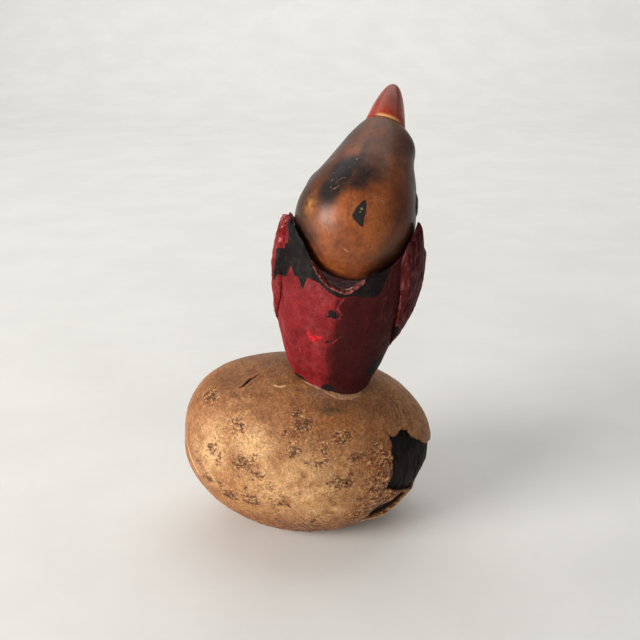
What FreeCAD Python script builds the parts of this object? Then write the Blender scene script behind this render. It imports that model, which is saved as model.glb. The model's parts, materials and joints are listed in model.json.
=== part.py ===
import FreeCAD
import Part
import math
import os

# Folk-art nodding bird that stands on a rattling nut.
#
# Row frame: millimetres, +Z up, origin at the middle of the flat rubbed under the nut, +Y the way the bird
# faces, +X to the bird's right.  The bird itself is laid out upright in its own figure frame, whose origin
# is the middle of its foot, and is then leaned, turned and set down on the nut.

Vector = FreeCAD.Vector

LEFT, RIGHT = -1, 1              # the bird's own sides
RING_POINTS = 16                 # points each cross-section is drawn through

# ---- the nut: a tan skin over a dark hollow shell with dry seeds inside ----
NUT_BLUNT_LENGTH = 28.7          # from the widest ring to the blunt (left) end
NUT_SHARP_LENGTH = 29.4          # from the widest ring to the narrow (right) end
NUT_RADIUS = 20.8                # of the depth and of the lower half
NUT_TOP_HEIGHT = 21.0            # of the widest ring above the long axis
NUT_POWERS = {                   # superellipse powers of the long outline, for each end and half
    "blunt": {"top": 2.8, "bottom": 1.9},
    "sharp": {"top": 2.05, "bottom": 1.8},
}
NUT_RING_ANGLES = (5, 14, 30, 48, 68)    # degrees from each pole, where a small round scar is left flat
NUT_TILT = 2.5                   # degrees, the narrow end hangs lower
REST_FLAT_DEPTH = 1.4            # how much is rubbed off under the nut
SKIN_THICKNESS = 0.8
HOLLOW_LENGTH, HOLLOW_RADIUS = 24.6, 16.8
POLE_FLAT_ANGLE = 3.0            # degrees, the tiny flat left at each end of a stretched ball
LAYER_GAP = 0.05                 # air between neighbouring layers that are not glued
TABLE_SIZE, TABLE_DEPTH = 200.0, 50.0    # of the block that rubs the nut's underside flat

# ---- the chip in the skin; its outline is (across, up) from its centre, seen square on ----
CHIP_CENTRE = (23.3, -11.6, 20.6)
CHIP_FACING = 45.0               # degrees, from facing -Y towards facing +X
CHIP_DEPTH = 6.0                 # how far behind its centre the window is cut
CHIP_REACH = 30.0                # length of the cutter, well clear of the nut outside
CHIP_OUTLINE = [
    (-4.7, 7.2),
    (-2.6, 6.0),
    (0.3, 6.7),
    (2.5, 4.6),
    (4.4, 2.9),
    (9.5, 0.4),
    (13.5, -1.6),
    (12.5, -5.5),
    (6.5, -7.4),
    (1.0, -5.6),
    (-2.8, -6.7),
    (-7.0, -5.5),
    (-5.8, -2.5),
    (-5.2, 2.0),
]

# ---- where the bird stands and how it leans ----
FOOT_X, FOOT_Y = 6.0, -3.6
FIGURE_LEAN = 7.2                # degrees towards +X
FIGURE_TURN = -12.0              # degrees about the bird's own height
PEG_RADIUS = 2.0
PEG_BELOW, PEG_ABOVE = 5.5, 12.0

# ---- torso; stations are (height above the foot, sideways shift, half width, half depth) ----
TORSO_POWER = 2.25               # superellipse power of the cross-sections, a little squarer than an oval
TORSO_STATIONS = [
    (-5.0, 0.2, 7.0, 7.0),
    (0.0, 0.0, 7.9, 7.8),
    (3.0, -0.1, 9.7, 9.3),
    (7.0, -0.5, 11.8, 10.7),
    (12.0, -0.5, 13.3, 11.8),
    (17.0, 0.0, 14.0, 12.5),
    (23.0, 0.0, 14.7, 12.6),
    (27.5, 0.0, 14.5, 11.8),
    (31.0, 0.0, 13.6, 10.0),
    (33.5, 0.0, 12.0, 7.4),
]

# ---- wings; the envelope they are carved from, in stations like the torso's ----
WING_STATIONS = [
    (4.0, -0.3, 9.2, 9.0),
    (8.0, -0.5, 12.1, 11.2),
    (12.0, -0.3, 14.0, 12.6),
    (17.0, 0.0, 15.5, 13.6),
    (23.0, 0.0, 16.4, 13.8),
    (28.0, 0.0, 16.4, 12.9),
    (32.0, 0.0, 15.8, 11.4),
    (35.0, 0.0, 14.8, 9.4),
    (38.0, 0.0, 13.0, 6.5),
]
WING_OUTLINE = [                 # seen from the side, (forward, height)
    (1.0, 7.5),
    (-3.5, 11.0),
    (-6.5, 16.5),
    (-7.6, 24.0),
    (-6.6, 31.0),
    (-1.8, 35.0),
    (4.0, 34.6),
    (8.6, 30.0),
    (9.2, 22.0),
    (6.0, 12.0),
]
WING_BEND_HEIGHT = 22.0          # above this height each outline is stretched up to its own shoulder
WING_RISE = {LEFT: -1.8, RIGHT: 3.2}     # how much higher each shoulder reaches than the outline
WING_BLANK_WIDTH = 30.0          # of the block each wing is cut from, sideways from the middle

# ---- the scooped seat the head nods in ----
SCOOP_HALF_WIDTH, SCOOP_HALF_DEPTH, SCOOP_RADIUS = 13.7, 20.4, 15.4
SCOOP_ANGLES = (82, 66, 48, 30, 14, 0)   # degrees below level, where its round floor has a cross-section

# ---- head, a hollow polished gourd; stations are (along its axis, radius) from the round end's centre ----
HEAD_CENTRE = (0.3, -0.6, 34.9)
HEAD_RADIUS = 12.8
HEAD_PITCH = 35.0                # degrees, the beak end tips forward
HEAD_LEAN = 5.5                  # degrees, the gourd is bored a little out of square
HEAD_WALL = 1.9
POLE_SCAR_RADIUS = 0.5           # the small flat scar at the round end
ROUND_END_ANGLES = (-70, -45, -22, 0)    # degrees, where the round end's outline has a point
HEAD_STATIONS = [(5.4, 12.2), (9.9, 10.7), (14.9, 8.5), (19.2, 6.5), (21.9, 4.9)]
HEAD_MOUTH_AT, HEAD_MOUTH_RADIUS = 22.8, 4.1
HOLLOW_MOUTH_AT, HOLLOW_MOUTH_RADIUS = 17.5, 3.0

# ---- beak ----
BEAK_RADIUS = 4.5
BEAK_LENGTH = 10.2               # past the gourd's mouth
BEAK_TENON_RADIUS, BEAK_TENON_LENGTH = 2.6, 5.5
BEAK_BEND = 6.0                  # degrees back towards the bird's left
BEAK_SHARES = (0.08, 0.2, 0.4, 0.6, 0.8, 1.0)    # of its radius, where its outline has a point

# ---- eyes ----
EYE_ALONG = 6.3                  # along the head's axis, from the round end's centre
EYE_HALF_LENGTH, EYE_HALF_WIDTH, EYE_PROUD = 2.3, 1.4, 0.35
EYE_REACH = HEAD_RADIUS + 5.0    # how far out each oval is drawn before it is cut back to the gourd

# ---- axle and counterweight ----
AXLE_Y, AXLE_Z = -0.6, 31.2
AXLE_RADIUS = 0.6
AXLE_HALF_LENGTH = 15.6
AXLE_CLEARANCE = 0.05
WEIGHT_TOP = -5.0                # height of its flat top above the round end's centre
WEIGHT_TILT = 8.0                # degrees, the weight sits a little behind straight down
WEIGHT_FLAT_ANGLE = -87.0        # degrees, where a tiny flat is left under it

# ---- glue and seeds ----
GLUE_WIDTH, GLUE_HEIGHT = 0.9, 0.6
SEED_HALF_LENGTH, SEED_RADIUS = 2.4, 1.3
SEED_LIFT = 2.2                  # from the hollow's wall to a seed's middle
SEEDS_ACROSS = 3
SEED_SPREAD = 15.0               # degrees round the nut between neighbouring seeds
SEED_STAGGER = 3.0               # degrees between one row and the next
SEED_RINGS = {"left": (-17.0, -11.6), "middle": (-5.2, 0.2), "right": (6.6, 12.0)}


def closed_curve(points):
    curve = Part.BSplineCurve()
    curve.interpolate(points, PeriodicFlag=True)
    return Part.Wire(curve.toShape())


def superellipse(angle, half_a, half_b, power):
    c, s = math.cos(angle), math.sin(angle)
    return (
        half_a * math.copysign(abs(c) ** (2 / power), c),
        half_b * math.copysign(abs(s) ** (2 / power), s),
    )


def nut_ring(end, angle, inset):
    """One cross-section of the nut, square to its long axis, set in by inset."""
    length = {"blunt": -NUT_BLUNT_LENGTH, "sharp": NUT_SHARP_LENGTH}[end]
    length -= math.copysign(inset, length)
    share = math.cos(math.radians(angle))
    heights = {}
    for half, power in NUT_POWERS[end].items():
        radius = (NUT_TOP_HEIGHT if half == "top" else NUT_RADIUS) - inset
        heights[half] = radius * (1 - share ** power) ** (1 / power)
    depth = (NUT_RADIUS - inset) * math.sin(math.radians(angle))
    points = []
    for i in range(RING_POINTS):
        around = 2 * math.pi * i / RING_POINTS
        height = heights["top" if math.sin(around) > 0 else "bottom"]
        points.append(Vector(length * share, depth * math.cos(around), height * math.sin(around)))
    return closed_curve(points)


def nut_solid(inset):
    """The nut's outer form, set in by inset, lying in the row frame."""
    rings = [nut_ring("blunt", angle, inset) for angle in NUT_RING_ANGLES]
    rings.append(nut_ring("blunt", 90, inset))
    rings += [nut_ring("sharp", angle, inset) for angle in reversed(NUT_RING_ANGLES)]
    return place_nut(Part.makeLoft(rings, True, False))


def spheroid(half_length, radius):
    """A ball stretched along X, with a tiny flat at each pole."""
    outline = Part.Ellipse(Vector(0, 0, 0), half_length, radius).toShape()
    flat = math.radians(POLE_FLAT_ANGLE)
    outline = Part.Edge(outline.Curve, flat, math.pi - flat)
    outline.rotate(Vector(0, 0, 0), Vector(1, 0, 0), 90)
    start, end = outline.Vertexes[0].Point, outline.Vertexes[-1].Point
    edges = [outline]
    edges.append(Part.makeLine(end, Vector(end.x, 0, 0)))
    edges.append(Part.makeLine(Vector(end.x, 0, 0), Vector(start.x, 0, 0)))
    edges.append(Part.makeLine(Vector(start.x, 0, 0), start))
    return Part.Solid(Part.Face(Part.Wire(edges)).revolve(Vector(0, 0, 0), Vector(1, 0, 0), 360))


def nut_hollow():
    return place_nut(spheroid(HOLLOW_LENGTH, HOLLOW_RADIUS))


def nut_centre_height():
    return NUT_RADIUS - REST_FLAT_DEPTH


def place_nut(shape):
    shape = shape.copy()
    shape.rotate(Vector(0, 0, 0), Vector(0, 1, 0), NUT_TILT)
    shape.translate(Vector(0, 0, nut_centre_height()))
    return shape


def figure_placement():
    """From the figure frame to the row frame."""
    lean = FreeCAD.Rotation(Vector(0, 1, 0), FIGURE_LEAN)
    turn = FreeCAD.Rotation(Vector(0, 0, 1), FIGURE_TURN)
    return FreeCAD.Placement(Vector(FOOT_X, FOOT_Y, foot_height()), lean.multiply(turn))


def foot_height():
    """Height of the nut's top under the middle of the foot."""
    ring = 1 - (FOOT_X / NUT_SHARP_LENGTH) ** 2 - (FOOT_Y / NUT_RADIUS) ** 2
    return nut_centre_height() + NUT_TOP_HEIGHT * math.sqrt(ring) - FOOT_X * math.tan(math.radians(NUT_TILT))


def place_figure(shape):
    shape = shape.copy()
    shape.Placement = figure_placement().multiply(shape.Placement)
    return shape


def lofted(stations, power, first=0.0):
    """A solid through oval rings, each (height, shift, half width, half depth).

    The rings' seam is moved round by first, a share of one step, so that two lofts that cut each other
    don't meet seam to seam.
    """
    wires = []
    for height, shift, half_width, half_depth in stations:
        points = []
        for i in range(RING_POINTS):
            x, y = superellipse(2 * math.pi * (i + first) / RING_POINTS, half_width, half_depth, power)
            points.append(Vector(x + shift, y, height))
        wires.append(closed_curve(points))
    return Part.makeLoft(wires, True, False)


def scoop():
    """The space the head nods in, round below and open at the top."""
    stations = []
    for angle in SCOOP_ANGLES:
        share = math.cos(math.radians(angle))
        height = -SCOOP_RADIUS * math.sin(math.radians(angle))
        stations.append((height, 0.0, SCOOP_HALF_WIDTH * share, SCOOP_HALF_DEPTH * share))
    stations.append((SCOOP_RADIUS, 0.0, SCOOP_HALF_WIDTH, SCOOP_HALF_DEPTH))
    space = lofted(stations, 2.0, first=0.5)
    space.translate(Vector(*HEAD_CENTRE))
    return space


def axle_rod(radius, half_length):
    return Part.makeCylinder(radius, 2 * half_length, Vector(-half_length, AXLE_Y, AXLE_Z), Vector(1, 0, 0))


def torso_blank():
    return lofted(TORSO_STATIONS, TORSO_POWER)


def make_torso():
    body = torso_blank().cut(scoop())
    body = body.cut(axle_rod(AXLE_RADIUS, AXLE_HALF_LENGTH))
    body = body.cut(peg_rod())
    return place_figure(body).cut(nut_solid(-LAYER_GAP))


def wing_outline(side):
    """The outline, with its upper half stretched up to that side's shoulder."""
    top = max(z for y, z in WING_OUTLINE)
    points = []
    for y, z in WING_OUTLINE:
        share = max(0.0, z - WING_BEND_HEIGHT) / (top - WING_BEND_HEIGHT)
        points.append(Vector(0, y, z + WING_RISE[side] * share))
    return closed_curve(points)


def make_wing(side):
    envelope = lofted(WING_STATIONS, TORSO_POWER)
    outline = Part.Face(wing_outline(side)).extrude(Vector(side * WING_BLANK_WIDTH, 0, 0))
    wing = envelope.common(outline).cut(torso_blank()).cut(scoop())
    return place_figure(wing.cut(axle_rod(AXLE_RADIUS, AXLE_HALF_LENGTH)))


def head_placement():
    """From the head's own frame, +Z along the gourd to the beak, to the figure frame."""
    pitch = FreeCAD.Rotation(Vector(1, 0, 0), -HEAD_PITCH)
    lean = FreeCAD.Rotation(Vector(0, 1, 0), HEAD_LEAN)
    return FreeCAD.Placement(Vector(*HEAD_CENTRE), lean.multiply(pitch))


def place_head(shape):
    shape = shape.copy()
    shape.Placement = head_placement().multiply(shape.Placement)
    return shape


def turned(outline, start, end):
    """The solid turned round the Z axis from one outline edge that runs from start to end."""
    foot = Vector(0, 0, start.z)
    top = Vector(0, 0, end.z)
    edges = [outline, Part.makeLine(end, top), Part.makeLine(top, foot), Part.makeLine(foot, start)]
    return Part.Solid(Part.Face(Part.Wire(edges)).revolve(Vector(0, 0, 0), Vector(0, 0, 1), 360))


def gourd_solid(inset, stations, mouth_radius, mouth_at):
    """The gourd's form set in by inset: a round bottom, then the stations, then a flat mouth."""
    radius = HEAD_RADIUS - inset
    points = [Vector(POLE_SCAR_RADIUS, 0, -radius)]
    for degrees in ROUND_END_ANGLES:
        angle = math.radians(degrees)
        points.append(Vector(radius * math.cos(angle), 0, radius * math.sin(angle)))
    points += [Vector(r - inset, 0, s) for s, r in stations]
    points.append(Vector(mouth_radius, 0, mouth_at))
    curve = Part.BSplineCurve()
    curve.interpolate(points, InitialTangent=Vector(1, 0, 0))
    return turned(curve.toShape(), points[0], points[-1])


def gourd_outside(grow=0.0):
    return gourd_solid(-grow, HEAD_STATIONS, HEAD_MOUTH_RADIUS, HEAD_MOUTH_AT)


def gourd_hollow():
    return gourd_solid(HEAD_WALL, HEAD_STATIONS[:2], HOLLOW_MOUTH_RADIUS, HOLLOW_MOUTH_AT)


def make_head_gourd():
    gourd = gourd_outside().cut(gourd_hollow())
    gourd = place_head(gourd.cut(beak_tenon()))
    return place_figure(gourd.cut(axle_rod(AXLE_RADIUS + AXLE_CLEARANCE, AXLE_HALF_LENGTH)))


def beak_tenon():
    start = Vector(0, 0, HEAD_MOUTH_AT - BEAK_TENON_LENGTH)
    return Part.makeCylinder(BEAK_TENON_RADIUS, BEAK_TENON_LENGTH + 1, start)


def make_beak():
    """A bluntly pointed horn-like beak, a paraboloid on a round tenon."""
    points = []
    for share in BEAK_SHARES:
        points.append(Vector(BEAK_RADIUS * share, 0, BEAK_LENGTH * (1 - share ** 2)))
    curve = Part.BSplineCurve()
    curve.interpolate(points)
    horn = turned(curve.toShape(), points[0], points[-1])
    horn.translate(Vector(0, 0, HEAD_MOUTH_AT + LAYER_GAP))
    horn.rotate(Vector(0, 0, HEAD_MOUTH_AT), Vector(0, 1, 0), -BEAK_BEND)
    horn = horn.cut(gourd_outside(LAYER_GAP))
    return place_figure(place_head(horn.fuse(beak_tenon()).removeSplitter()))


def make_eye(side):
    """An oval dab of black that sits on the gourd's side."""
    oval = Part.Ellipse(Vector(0, 0, 0), EYE_HALF_LENGTH, EYE_HALF_WIDTH)
    dab = Part.Face(Part.Wire(oval.toShape())).extrude(Vector(0, 0, EYE_REACH))
    dab.rotate(Vector(0, 0, 0), Vector(0, 1, 0), side * 90)
    dab.translate(Vector(0, 0, EYE_ALONG))
    dab = dab.common(gourd_outside(EYE_PROUD)).cut(gourd_outside())
    return place_figure(place_head(dab))


def make_counterweight():
    """A slug cast in the bottom of the gourd's hollow."""
    radius = HEAD_RADIUS - HEAD_WALL - LAYER_GAP
    low, high = math.radians(WEIGHT_FLAT_ANGLE), math.asin(WEIGHT_TOP / radius)
    points = []
    for angle in (low, (low + high) / 2, high):
        points.append(Vector(radius * math.cos(angle), 0, radius * math.sin(angle)))
    slug = turned(Part.Arc(*points).toShape(), points[0], points[-1])
    slug.rotate(Vector(0, 0, 0), Vector(1, 0, 0), -WEIGHT_TILT)
    slug.translate(Vector(*HEAD_CENTRE))
    return place_figure(slug)


def make_axle():
    return place_figure(axle_rod(AXLE_RADIUS, AXLE_HALF_LENGTH))


def peg_rod():
    return Part.makeCylinder(PEG_RADIUS, PEG_BELOW + PEG_ABOVE, Vector(0, 0, -PEG_BELOW), Vector(0, 0, 1))


def make_foot_peg():
    return place_figure(peg_rod())


def rest_slab():
    """Everything under the table."""
    corner = Vector(-TABLE_SIZE / 2, -TABLE_SIZE / 2, -TABLE_DEPTH)
    return Part.makeBox(TABLE_SIZE, TABLE_SIZE, TABLE_DEPTH, corner)


def make_nut_shell():
    shell = nut_solid(SKIN_THICKNESS + LAYER_GAP).cut(nut_hollow())
    return shell.cut(rest_slab()).cut(place_figure(peg_rod()))


def chip_window():
    """The ragged place where the skin has flaked off, cut square to the nut's front right corner."""
    points = [Vector(x, 0, z) for x, z in CHIP_OUTLINE]
    window = Part.Face(Part.makePolygon(points + [points[0]])).extrude(Vector(0, -CHIP_REACH, 0))
    window.translate(Vector(0, CHIP_DEPTH, 0))
    window.rotate(Vector(0, 0, 0), Vector(0, 0, 1), CHIP_FACING)
    window.translate(Vector(*CHIP_CENTRE))
    return window


def make_nut_skin():
    skin = nut_solid(0.0).cut(nut_solid(SKIN_THICKNESS))
    return skin.cut(rest_slab()).cut(place_figure(peg_rod())).cut(chip_window())


def make_glue_fillet():
    """A low bead of glue round the foot."""
    stations = [(z, x, a + GLUE_WIDTH, b + GLUE_WIDTH) for z, x, a, b in TORSO_STATIONS[:3]]
    bead = lofted(stations, TORSO_POWER, first=0.5).cut(torso_blank())
    bead = place_figure(bead).common(nut_solid(-GLUE_HEIGHT))
    return bead.cut(nut_solid(-LAYER_GAP))


def make_seeds(ring_from, ring_to):
    """A handful of long round seeds lying in the bottom of the hollow, in two rows across the nut."""
    seeds = []
    for row, x in enumerate((ring_from, ring_to)):
        hollow_radius = HOLLOW_RADIUS * math.sqrt(1 - (x / HOLLOW_LENGTH) ** 2)
        for k in range(SEEDS_ACROSS):
            angle = (k - (SEEDS_ACROSS - 1) / 2) * SEED_SPREAD + (row - 0.5) * SEED_STAGGER
            seed = spheroid(SEED_HALF_LENGTH, SEED_RADIUS)
            seed.translate(Vector(x, 0, SEED_LIFT - hollow_radius))
            seed.rotate(Vector(0, 0, 0), Vector(1, 0, 0), angle)
            seeds.append(place_nut(seed))
    return Part.makeCompound(seeds)


def build():
    parts = {
        "nut_skin": make_nut_skin(),
        "nut_shell": make_nut_shell(),
        "foot_peg": make_foot_peg(),
        "glue_fillet": make_glue_fillet(),
        "torso": make_torso(),
        "left_wing": make_wing(LEFT),
        "right_wing": make_wing(RIGHT),
        "neck_axle": make_axle(),
        "head_gourd": make_head_gourd(),
        "beak": make_beak(),
        "left_eye": make_eye(LEFT),
        "right_eye": make_eye(RIGHT),
        "counterweight": make_counterweight(),
    }
    for name, (start, end) in SEED_RINGS.items():
        parts["rattle_seeds_" + name] = make_seeds(start, end)
    return parts


os.makedirs("parts", exist_ok=True)
for node, shape in build().items():
    shape.exportStep("parts/" + node + ".step")
    print(node, len(shape.Solids), shape.isValid(), round(shape.Volume, 1))
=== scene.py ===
import itertools
import json
import math

import bmesh
import bpy
import numpy as np
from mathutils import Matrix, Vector


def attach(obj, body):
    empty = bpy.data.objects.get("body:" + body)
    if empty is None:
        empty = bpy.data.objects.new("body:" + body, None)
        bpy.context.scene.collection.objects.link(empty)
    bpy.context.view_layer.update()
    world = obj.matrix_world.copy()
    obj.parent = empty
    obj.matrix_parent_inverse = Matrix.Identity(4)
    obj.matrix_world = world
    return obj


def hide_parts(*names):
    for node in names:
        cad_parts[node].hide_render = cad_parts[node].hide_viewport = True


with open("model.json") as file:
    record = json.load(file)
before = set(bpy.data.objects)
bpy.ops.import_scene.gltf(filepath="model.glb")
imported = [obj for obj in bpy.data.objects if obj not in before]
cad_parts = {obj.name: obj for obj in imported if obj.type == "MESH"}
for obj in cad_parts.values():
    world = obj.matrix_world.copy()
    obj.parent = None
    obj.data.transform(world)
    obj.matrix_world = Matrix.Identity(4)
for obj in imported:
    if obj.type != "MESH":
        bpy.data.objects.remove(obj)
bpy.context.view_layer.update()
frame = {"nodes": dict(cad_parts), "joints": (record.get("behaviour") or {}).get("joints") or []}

# A folk-art nodding bird on a rattling nut.  Lengths in this script are millimetres until a mesh is made.
MM = 0.001

# ---- nut: long superellipse outline, round cross-sections, hung a little low at the narrow end ----
NUT_LENGTHS = (28.7, 29.4)    # blunt (left) and sharp (right) half lengths
NUT_DEPTH = 20.8
NUT_HEIGHTS = (21.0, 20.8)    # top and bottom
NUT_POWERS = ((2.8, 1.9), (2.05, 1.8))    # blunt (top, bottom), sharp (top, bottom)
NUT_TILT = 2.5
NUT_CENTRE = (0.0, 0.0, 19.4)
SKIN_THICKNESS = 0.8
SKIN_GAP = 0.048    # between the skin and the shell
SHELL_INSET = 0.9
HOLLOW_LENGTH, HOLLOW_RADIUS = 24.6, 16.8

# ---- chip in the skin, seen square on: across and up from its centre ----
CHIP_CENTRE = (23.3, -11.6, 20.6)
CHIP_FACING = 45.0
CHIP_BEHIND = -7.5    # the outlines count down to this far behind the centre
CHIP_OUTLINE = [
    (-5.2, 8.2), (-4.4, 7.0), (-3.4, 6.6), (-2.2, 7.3), (-0.9, 7.9), (0.5, 7.1), (1.2, 5.5), (3.7, 3.7),
    (7.3, 1.4), (9.5, 1.2), (14.0, 0.6), (15.5, -5.0), (12.0, -9.6), (6.5, -10.6), (2.0, -9.0),
    (-1.2, -7.2), (-3.2, -6.6), (-4.7, -5.9), (-6.3, -4.9), (-7.6, -4.7), (-6.7, -2.8), (-6.0, -1.0),
    (-5.7, 1.1), (-5.7, 3.4), (-5.0, 5.3),
]
SLIT_OUTLINE = [
    (-8.5, -11.6), (-8.0, -9.9), (-7.0, -9.3), (-5.9, -9.1), (-4.6, -8.8), (-3.4, -8.0), (-2.6, -7.3),
    (-0.8, -7.6), (0.6, -9.6), (-0.5, -12.2), (-3.0, -13.9), (-5.9, -14.8), (-8.2, -14.5),
]
FLAKE_LINE = [(-8.6, -14.9), (-5.9, -15.2), (-2.9, -14.3), (-0.3, -12.5), (1.0, -10.0)]

# ---- figure: heights above its foot in its own upright frame ----
AXLE_PLACE = (0.0, -0.6, 31.2)
TORSO_POWER = 2.25
TORSO_STATIONS = [    # height, sideways shift, half width, half depth
    (-5.0, 0.6, 7.4, 7.0), (0.0, 0.5, 8.4, 7.4), (3.0, 0.2, 10.0, 9.1), (7.0, -0.5, 11.8, 10.7),
    (12.0, -0.5, 13.3, 11.8), (17.0, 0.0, 14.0, 12.5), (23.0, 0.0, 14.7, 12.6), (27.5, 0.0, 14.5, 12.2),
    (31.0, 0.0, 14.1, 12.2), (34.5, 0.0, 13.8, 12.2),
]
RIM = [    # degrees round from the back, height of the torso's rim
    (-180, 22.6), (-150, 25.0), (-120, 29.0), (-90, 33.6), (-60, 33.9), (-45, 33.0), (-35, 30.6),
    (-29, 28.4), (-26, 27.2), (-23, 26.2), (-17, 24.9), (-11, 23.8), (-5, 23.1), (2, 22.6), (8, 22.6),
    (15, 23.0), (20, 23.9), (25, 25.0), (30, 25.8), (39, 26.7), (48, 28.2), (60, 31.0), (75, 33.8),
    (90, 34.0), (120, 29.0), (150, 25.0), (180, 22.6),
]
BOWL_DEPTH = 14.4
BOWL_TOP = 34.9
RIM_WIDTH = 1.7
NOD_CLEARANCE = 13.7    # radius about the head's centre kept free for nodding
PEG_RADIUS = 2.05
PEG_TOP = 12.0
FOOT_GAP = 0.05    # between the torso's sole and the nut

# ---- black paint round the shoulders, seen from behind: sideways and height ----
MANTLE_OUTLINE = [
    (-11.0, 37.0), (-12.4, 34.2), (-13.2, 33.0), (-12.0, 31.6), (-11.8, 29.6), (-13.4, 28.4),
    (-14.8, 27.2), (-14.7, 24.5), (-15.0, 20.4), (-14.2, 20.6), (-13.4, 22.2), (-12.1, 22.0),
    (-11.2, 22.6), (-10.4, 25.2), (-9.4, 23.4), (-8.4, 23.5), (-7.0, 21.0), (-6.2, 24.0), (-3.4, 23.3),
    (-1.1, 21.9), (1.2, 21.3), (3.1, 21.9), (4.6, 22.0), (6.1, 21.9), (8.0, 22.2), (9.0, 23.2),
    (9.4, 25.0), (10.0, 27.6), (10.8, 31.0), (11.0, 37.0),
]

# ---- head: along its axis and radius ----
HEAD_CENTRE = (0.3, -0.6, 34.9)
HEAD_PITCH, HEAD_LEAN = 35.0, 5.5
HEAD_RADIUS = 12.8
HEAD_STATIONS = [(5.4, 12.2), (9.9, 10.7), (14.9, 8.5), (19.2, 6.5), (21.9, 4.9), (22.8, 4.1)]
HEAD_WALL = 1.9
HEAD_MOUTH = 22.8
BORE_RADIUS = 2.65
TENON_GAP = 0.05
BEAK_RADIUS, BEAK_LENGTH, BEAK_BEND, BEAK_POWER = 4.5, 10.1, 4.8, 2.15
EYE_ALONG, EYE_HALF_LENGTH, EYE_HALF_WIDTH, EYE_PROUD = 6.3, 2.4, 1.8, 0.42
EYE_ROUND = 85.0
WING_CLEARANCE = 13.1
MAP_RADIUS = 12.5    # of the map on which the gourd's marks are laid out

# ---- values that keep a painted shape off a point ----
OFF = -9.0
FAR_OUTSIDE = -40.0
UNSEEN = -30.0


# ---- frames ----
def turn(axis, degrees):
    c, s = math.cos(math.radians(degrees)), math.sin(math.radians(degrees))
    return np.array({
        "x": [[1, 0, 0], [0, c, -s], [0, s, c]],
        "y": [[c, 0, s], [0, 1, 0], [-s, 0, c]],
    }[axis])


def figure_seat():
    """The figure's own axes and its foot, from the axle the head nods on."""
    nod = next(joint for joint in frame["joints"] if joint["name"] == "head_nod")
    sideways = -np.array(nod["axis"])
    lean = math.atan2(-sideways[2], sideways[0])
    upward = np.array([math.sin(lean), 0.0, math.cos(lean)])
    axes = np.column_stack([sideways, np.cross(upward, sideways), upward])
    return axes, np.array(nod["pos_m"]) / MM - axes @ AXLE_PLACE


def out_of(points, seat):
    """Points given in a seat, which is axes and a place, as they lie in the part."""
    axes, place = seat
    return points @ axes.T + place


def into(points, seat):
    """Points of the part as a seat sees them."""
    axes, place = seat
    return (points - place) @ axes


FIGURE = figure_seat()
HEAD_AXES = FIGURE[0] @ turn("y", HEAD_LEAN) @ turn("x", -HEAD_PITCH)
HEAD = (HEAD_AXES, FIGURE[1] + FIGURE[0] @ HEAD_CENTRE)
NUT = (turn("y", NUT_TILT), np.array(NUT_CENTRE))


# ---- numbers: smooth curves, noise, distances ----
def step(low, high, values):
    """0 below low, 1 above high and smooth between."""
    share = np.clip((values - low) / (high - low), 0, 1)
    return share * share * (3 - 2 * share)


def curve(values, stations):
    """A smooth curve through (place, height) stations, read at values."""
    xs, ys = np.array(stations, float).T
    slopes = np.gradient(ys, xs)
    k = np.clip(np.searchsorted(xs, values) - 1, 0, len(xs) - 2)
    width = xs[k + 1] - xs[k]
    t = np.clip((values - xs[k]) / width, 0, 1)
    a, b = slopes[k] * width, slopes[k + 1] * width
    rise = ys[k + 1] - ys[k]
    return ys[k] + t * (a + t * (3 * rise - 2 * a - b + t * (a + b - 2 * rise)))


def scatter(cells, seed):
    """A repeatable random number from 0 to 1 for each whole-number place."""
    i, j, k = cells[..., 0], cells[..., 1], cells[..., 2]
    h = (i * 374761393 + j * 668265263 + k * 1440662683 + seed * 974634777) & 0xFFFFFFFF
    h = ((h ^ (h >> 13)) * 1274126177) & 0xFFFFFFFF
    h = ((h ^ (h >> 15)) * 2246822519) & 0xFFFFFFFF
    return ((h ^ (h >> 16)) & 0xFFFF) / 65535.0


def noise(points, size, seed):
    """Smooth lumps from -1 to 1, of the given size."""
    p = points / size + 64.0
    cell = np.floor(p).astype(np.int64)
    f = p - cell
    f = f * f * (3 - 2 * f)
    total = 0.0
    for corner in itertools.product((0, 1), repeat=3):
        weight = np.prod(np.where(np.array(corner) == 1, f, 1 - f), axis=-1)
        total = total + weight * scatter(cell + np.array(corner), seed)
    return total * 2 - 1


def rough(points, size, seed, octaves=3):
    """Noise with finer noise on top."""
    total = 0.0
    for octave in range(octaves):
        total = total + noise(points, size / 2 ** octave, seed + octave) / 2 ** octave
    return total / 1.6


def inside(points, outline):
    """How far 2-D points are inside a closed outline, negative outside."""
    x, y = points[:, 0], points[:, 1]
    nearest = np.full(len(x), 1e9)
    within = np.zeros(len(x), bool)
    for (x0, y0), (x1, y1) in zip(outline, outline[1:] + outline[:1]):
        dx, dy = x1 - x0, y1 - y0
        t = np.clip(((x - x0) * dx + (y - y0) * dy) / (dx * dx + dy * dy), 0, 1)
        nearest = np.minimum(nearest, np.hypot(x - x0 - t * dx, y - y0 - t * dy))
        if dy:
            within ^= ((y0 > y) != (y1 > y)) & (x < dx * (y - y0) / dy + x0)
    return np.where(within, nearest, -nearest)


def from_line(points, line):
    """Distance from points, 2-D or 3-D, to an open line, and how far along it the nearest place is."""
    nearest = np.full(len(points), 1e9)
    along = np.zeros(len(points))
    line = [np.array(p, float) for p in line]
    for k, (a, b) in enumerate(zip(line, line[1:])):
        d = b - a
        t = np.clip((points - a) @ d / (d @ d), 0, 1)
        gap = np.linalg.norm(points - a - t[:, None] * d, axis=1)
        closer = gap < nearest
        nearest = np.where(closer, gap, nearest)
        along = np.where(closer, (k + t) / (len(line) - 1), along)
    return nearest, along


def from_lines(points, lines):
    """Distance from points to the nearest of some open lines."""
    return np.minimum.reduce([from_line(points, line)[0] for line in lines])


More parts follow.
